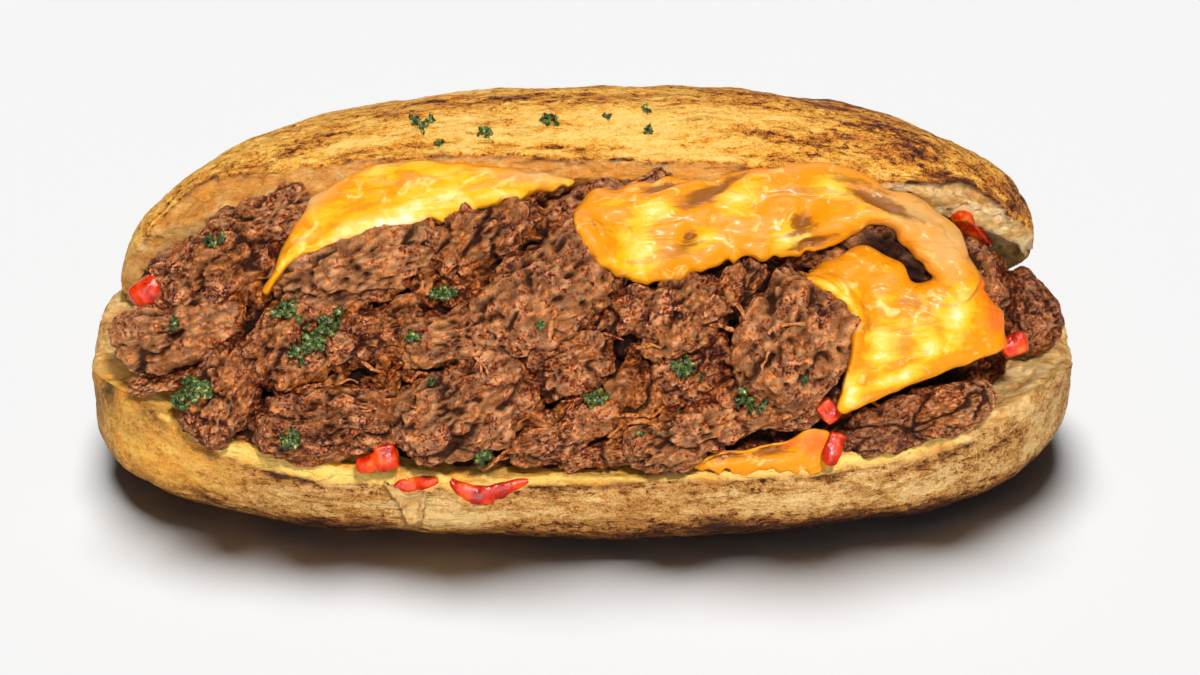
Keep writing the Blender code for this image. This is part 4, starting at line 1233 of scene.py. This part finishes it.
# chopped parsley: sprigs of small curled leaves; u, v, how far they spread, how many leaves
parsleySizes = {"Leaf": 1.35 * mm, "Curl": 1.2 * mm}
sprigsOnBeef = (
    (-74.8, 48.5, 1.6, 7), (-83, 31.5, 1.4, 7), (-78, 18.3, 3.4, 34), (-81.5, 15.8, 2.4, 16),
    (-59.8, 34, 2.6, 18), (-51.5, 31.5, 2.8, 22), (-54.5, 28.5, 2.8, 22), (-56.9, 25.5, 1.9, 12),
    (-58.5, 7.8, 2.2, 16), (-33.5, 28.8, 1.2, 6), (-27.4, 37.8, 2.5, 20), (-19.6, 4.2, 2.0, 16),
    (3.3, 16.8, 2.0, 14), (20.7, 22.5, 2.8, 24), (33, 15.8, 2.8, 16), (12, 9, 0.7, 2), (-8, 31, 0.7, 2),
    (45, 20, 0.6, 2), (-30, 20, 0.6, 2),
)
sprigsOnLid = (
    (-32.5, 72.2, 1.8, 9), (-19.8, 70.8, 1.3, 6), (-7, 73.2, 1.8, 8), (13.5, 71, 1.1, 4), (13, 75.5, 0.6, 2),
    (-29, 68, 0.5, 2), (5, 74, 0.5, 1),
)


def makeLeaf():  # one leaf: a lobed, ruffled plate with a thickness
    outline, inner = [], []
    for k in range(12):
        turn = 2 * math.pi * k / 12
        reach = 1.0 if k % 2 else 0.62
        ruffle = 0.34 * math.cos(3 * turn + 0.6)
        outline.append((reach * math.cos(turn), 0.8 * reach * math.sin(turn), ruffle))
        inner.append((0.45 * reach * math.cos(turn), 0.36 * reach * math.sin(turn), 0.4 * ruffle + 0.1))
    points, faces = [], []
    for side in (0.07, -0.07):
        points += [(x, y, z + side) for x, y, z in outline + inner] + [(0, 0, 0.12 + side)]
    for start, order in ((0, 1), (25, -1)):
        for k in range(12):
            j = (k + 1) % 12
            for face in ((k, j, 12 + j, 12 + k), (12 + k, 12 + j, 24)):
                faces.append(tuple(start + i for i in face[::order]))
    for k in range(12):
        j = (k + 1) % 12
        faces.append((k, 25 + k, 25 + j, j))
    leaf = makePiece("leaf", points, faces)
    faceOutward(leaf)
    return leaf


def scatterLeaves(name, spots, ways, tree):
    turns, sizes = [], draw.uniform(0.55, 1.15, len(spots))
    for way in ways:
        tilt = Euler(tuple(draw.normal(0, 0.7, 2)) + (draw.uniform(0, 6.28),)).to_matrix()
        turns.append(tuple((way.to_track_quat("Z", "Y").to_matrix() @ tilt).to_euler()))
    return grown(name, spots, turns, sizes, tree, {**parsleySizes, "Look": parsleyLook})


def parsleyMaterial():
    look = Finish("chopped parsley", 0.5, Specular_IOR_Level=0.5)
    tone = look.grain(900, 3, 0.6)
    # dark green, and pale at the light end as painted highlights
    colour = look.ramp(tone, (0.38, (0.010, 0.020, 0.003)), (0.50, (0.034, 0.060, 0.006)),
                       (0.60, (0.11, 0.15, 0.016)), (0.70, (0.48, 0.47, 0.17)))
    return look.finish(colour, look.bump(tone, 0.0004, 0.7), look.between(tone, 0.3, 0.7, 0.35, 0.6))


parsleyLook = parsleyMaterial()
leaf = makeLeaf()
leafMaker = scatterTree(
    "leaves", parsleySizes, lambda add, given: add("GeometryNodeObjectInfo", {"Object": leaf}, "Geometry"),
    "Leaf", "Curl", 700.0)
spreadU, spreadV = [], []
for u, v, spread, count in sprigsOnBeef:
    spreadU += (u * mm + draw.normal(0, 0.5 * spread * mm, count)).tolist()
    spreadV += (v * mm + draw.normal(0, 0.32 * spread * mm, count)).tolist()
leafSpots, leafWays = lieOn(np.array(spreadU), np.array(spreadV), 0.7 * mm)
parsleyOnBeef = scatterLeaves("parsleyOnBeef", leafSpots, leafWays, leafMaker)
leafSpots, leafWays = [], []
for u, v, spread, count in sprigsOnLid:
    for _ in range(count):
        aside, up = draw.normal(0, 0.5 * spread * mm), draw.normal(0, 0.3 * spread * mm)
        spot, way = downOn(lidTree, u * mm + aside, v * mm + up, 90 * mm)
        if spot:
            leafSpots.append(spot + 0.3 * mm * way)
            leafWays.append(way)
parsleyOnLid = scatterLeaves("parsleyOnLid", leafSpots, leafWays, leafMaker)
bpy.data.objects.remove(leaf)
print("parsley", len(parsleyOnBeef.data.polygons), len(parsleyOnLid.data.polygons))


# the torn flap of crust below the front rim
flapSizes = {"step": 0.3, "lift": 0.8 * mm, "curl": 1.3 * mm, "thickness": 1.3 * mm}
flapEdge = (
    (-41.3, -0.6), (-38.9, -1.2), (-37, -2.2), (-35.4, -3.3), (-32.1, -2.5), (-31.4, -4.5), (-32.3, -7),
    (-31.9, -8.8), (-33.9, -9.8), (-35.6, -10), (-36.6, -8), (-37.3, -5.5), (-38.9, -3.5),
)


def makeFlap():
    step = flapSizes["step"]
    across, up = np.arange(-42, -30, step), np.arange(-11, 0.5, step)
    gridU, gridV = (grid.ravel() for grid in np.meshgrid(across, up, indexing="ij"))
    spots = np.stack([gridU, gridV, 0 * gridU], axis=1)
    testU, testV = gridU + 0.3 * waves(spots, 0.9, 3), gridV + 0.3 * waves(spots, 0.9, 5)
    inside, gap = np.zeros(len(gridU), dtype=bool), np.full(len(gridU), 9.0)
    for (u0, v0), (u1, v1) in zip(flapEdge, flapEdge[1:] + flapEdge[:1]):
        crosses = (v0 > testV) != (v1 > testV)
        inside ^= crosses & (testU < u0 + (testV - v0) * (u1 - u0) / ((v1 - v0) or 1e-9))
        along = (testU - u0) * (u1 - u0) + (testV - v0) * (v1 - v0)
        t = np.clip(along / ((u1 - u0) ** 2 + (v1 - v0) ** 2), 0, 1)
        gap = np.minimum(gap, np.hypot(testU - u0 - t * (u1 - u0), testV - v0 - t * (v1 - v0)))
    index, points, faces = np.full(len(gridU), -1), [], []
    for k in np.flatnonzero(inside):
        ground, _ = downOn(lowerTree, float(gridU[k]) * mm, float(gridV[k]) * mm)
        curl = flapSizes["curl"] * float(bell(gap[k] - 0.5, 0.7))
        index[k] = len(points)
        lift = flapSizes["lift"] + curl + 0.25 * mm * noise.noise(Vector(spots[k]))
        points.append(ground + outOfFace * lift)
    rows = len(up)
    for k in np.flatnonzero(index >= 0):
        corners = (k, k + rows, k + rows + 1, k + 1)
        if corners[2] < len(index) and (k + 1) % rows and all(index[c] >= 0 for c in corners):
            faces.append(tuple(int(index[c]) for c in corners))
    piece = makePiece("crustFlap", points, faces)
    wall = piece.modifiers.new("wall", "SOLIDIFY")
    wall.thickness, wall.offset = flapSizes["thickness"], -1
    applied(piece)
    faceOutward(piece)
    toast = 0.08 + 0.2 * layered(pointsOf(piece.data), 3 * mm, 4)
    setFields(piece.data, toast=toast, crumb=0.55, stain=0, glaze=0)
    piece.data.materials.append(lowerHalf.data.materials[0])
    return piece


crustFlap = makeFlap()
print("flap", len(crustFlap.data.polygons))


# every piece stands for its solid
standsFor = {
    "roll": ("crust", [lowerHalf, upperHalf, crustFlap, parsleyOnLid]),
    "steak_heap": ("beef", beefPiecesMade + [core, shreds, parsleyOnBeef]),
    "steak_strip": ("beef", [beefStrip]), "steak_end": ("beef", [beefEnd]),
    "cheese_left": ("cheese", [cheeseLeft]), "cheese_right": ("cheese", [cheeseRight]),
    "cheese_front": ("cheese", [cheeseFront]),
    **{f"pepper_{i + 1}": ("pepper", [pepper]) for i, pepper in enumerate(peppers)},
}
sandwich = bpy.data.collections.new("sandwich")
for node, (slotName, pieces) in standsFor.items():
    for piece in pieces:
        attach(piece, "root")
        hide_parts(node)
        sandwich.objects.link(piece)


# the floor, the lights and the camera
studio = {
    "floorGrey": 0.72, "sky": 0.03, "overhead": 4.12, "overheadSoftness": 32,
    "key": 4.15, "keySoftness": 6, "fill": 1.3, "fillSoftness": 24, "bounce": 0.8, "bounceSoftness": 60,
    "rear": 1.6, "rearSoftness": 40,
}
floorMesh = bpy.data.meshes.new("floor")
floorMesh.from_pydata([(-3, -3, 0), (3, -3, 0), (3, 3, 0), (-3, 3, 0)], [], [(0, 1, 2, 3)])
floor = inScene("floor", floorMesh)
floorMesh.materials.append(
    Finish("pale table", 0.9, Base_Color=(studio["floorGrey"],) * 3, Specular_IOR_Level=0.1).material)

world = bpy.data.worlds.new("studio")
scene.world = world
world.use_nodes = True
feed(world.node_tree, world.node_tree.nodes["Background"], {"Color": (1, 1, 1), "Strength": studio["sky"]})


def softSun(name, turn, height, only, shadedBy=None):
    lamp = bpy.data.lights.new(name, "SUN")
    lamp.energy = studio[name]
    lamp.angle = math.radians(studio[name + "Softness"])
    holder = inScene(name, lamp)
    a, e = math.radians(turn), math.radians(height)
    way = Vector((math.sin(a) * math.cos(e), -math.cos(a) * math.cos(e), math.sin(e)))
    holder.rotation_euler = way.to_track_quat("Z", "Y").to_euler()
    holder.light_linking.receiver_collection = only
    if shadedBy:
        holder.light_linking.blocker_collection = shadedBy


table = bpy.data.collections.new("table")
table.objects.link(floor)
softSun("overhead", 190, 72, table)
softSun("key", 12, 51, sandwich)
softSun("fill", -6, 22, sandwich)
softSun("bounce", 0, -16, sandwich, sandwich)
softSun("rear", 185, 42, sandwich)

viewFrom = {"elevation": 33, "distance": 0.95, "target": Vector((3.9, 0.8, 25.7)) * mm, "lens": 134.96}
camera = inScene("camera", bpy.data.cameras.new("camera"))
tilt = math.radians(viewFrom["elevation"])
back = Vector((0, -math.cos(tilt), math.sin(tilt)))
camera.location = viewFrom["target"] + back * viewFrom["distance"]
camera.rotation_euler = back.to_track_quat("Z", "Y").to_euler()
camera.data.sensor_width = 36
camera.data.lens = viewFrom["lens"]
scene.camera = camera
scene.view_settings.view_transform = "Standard"
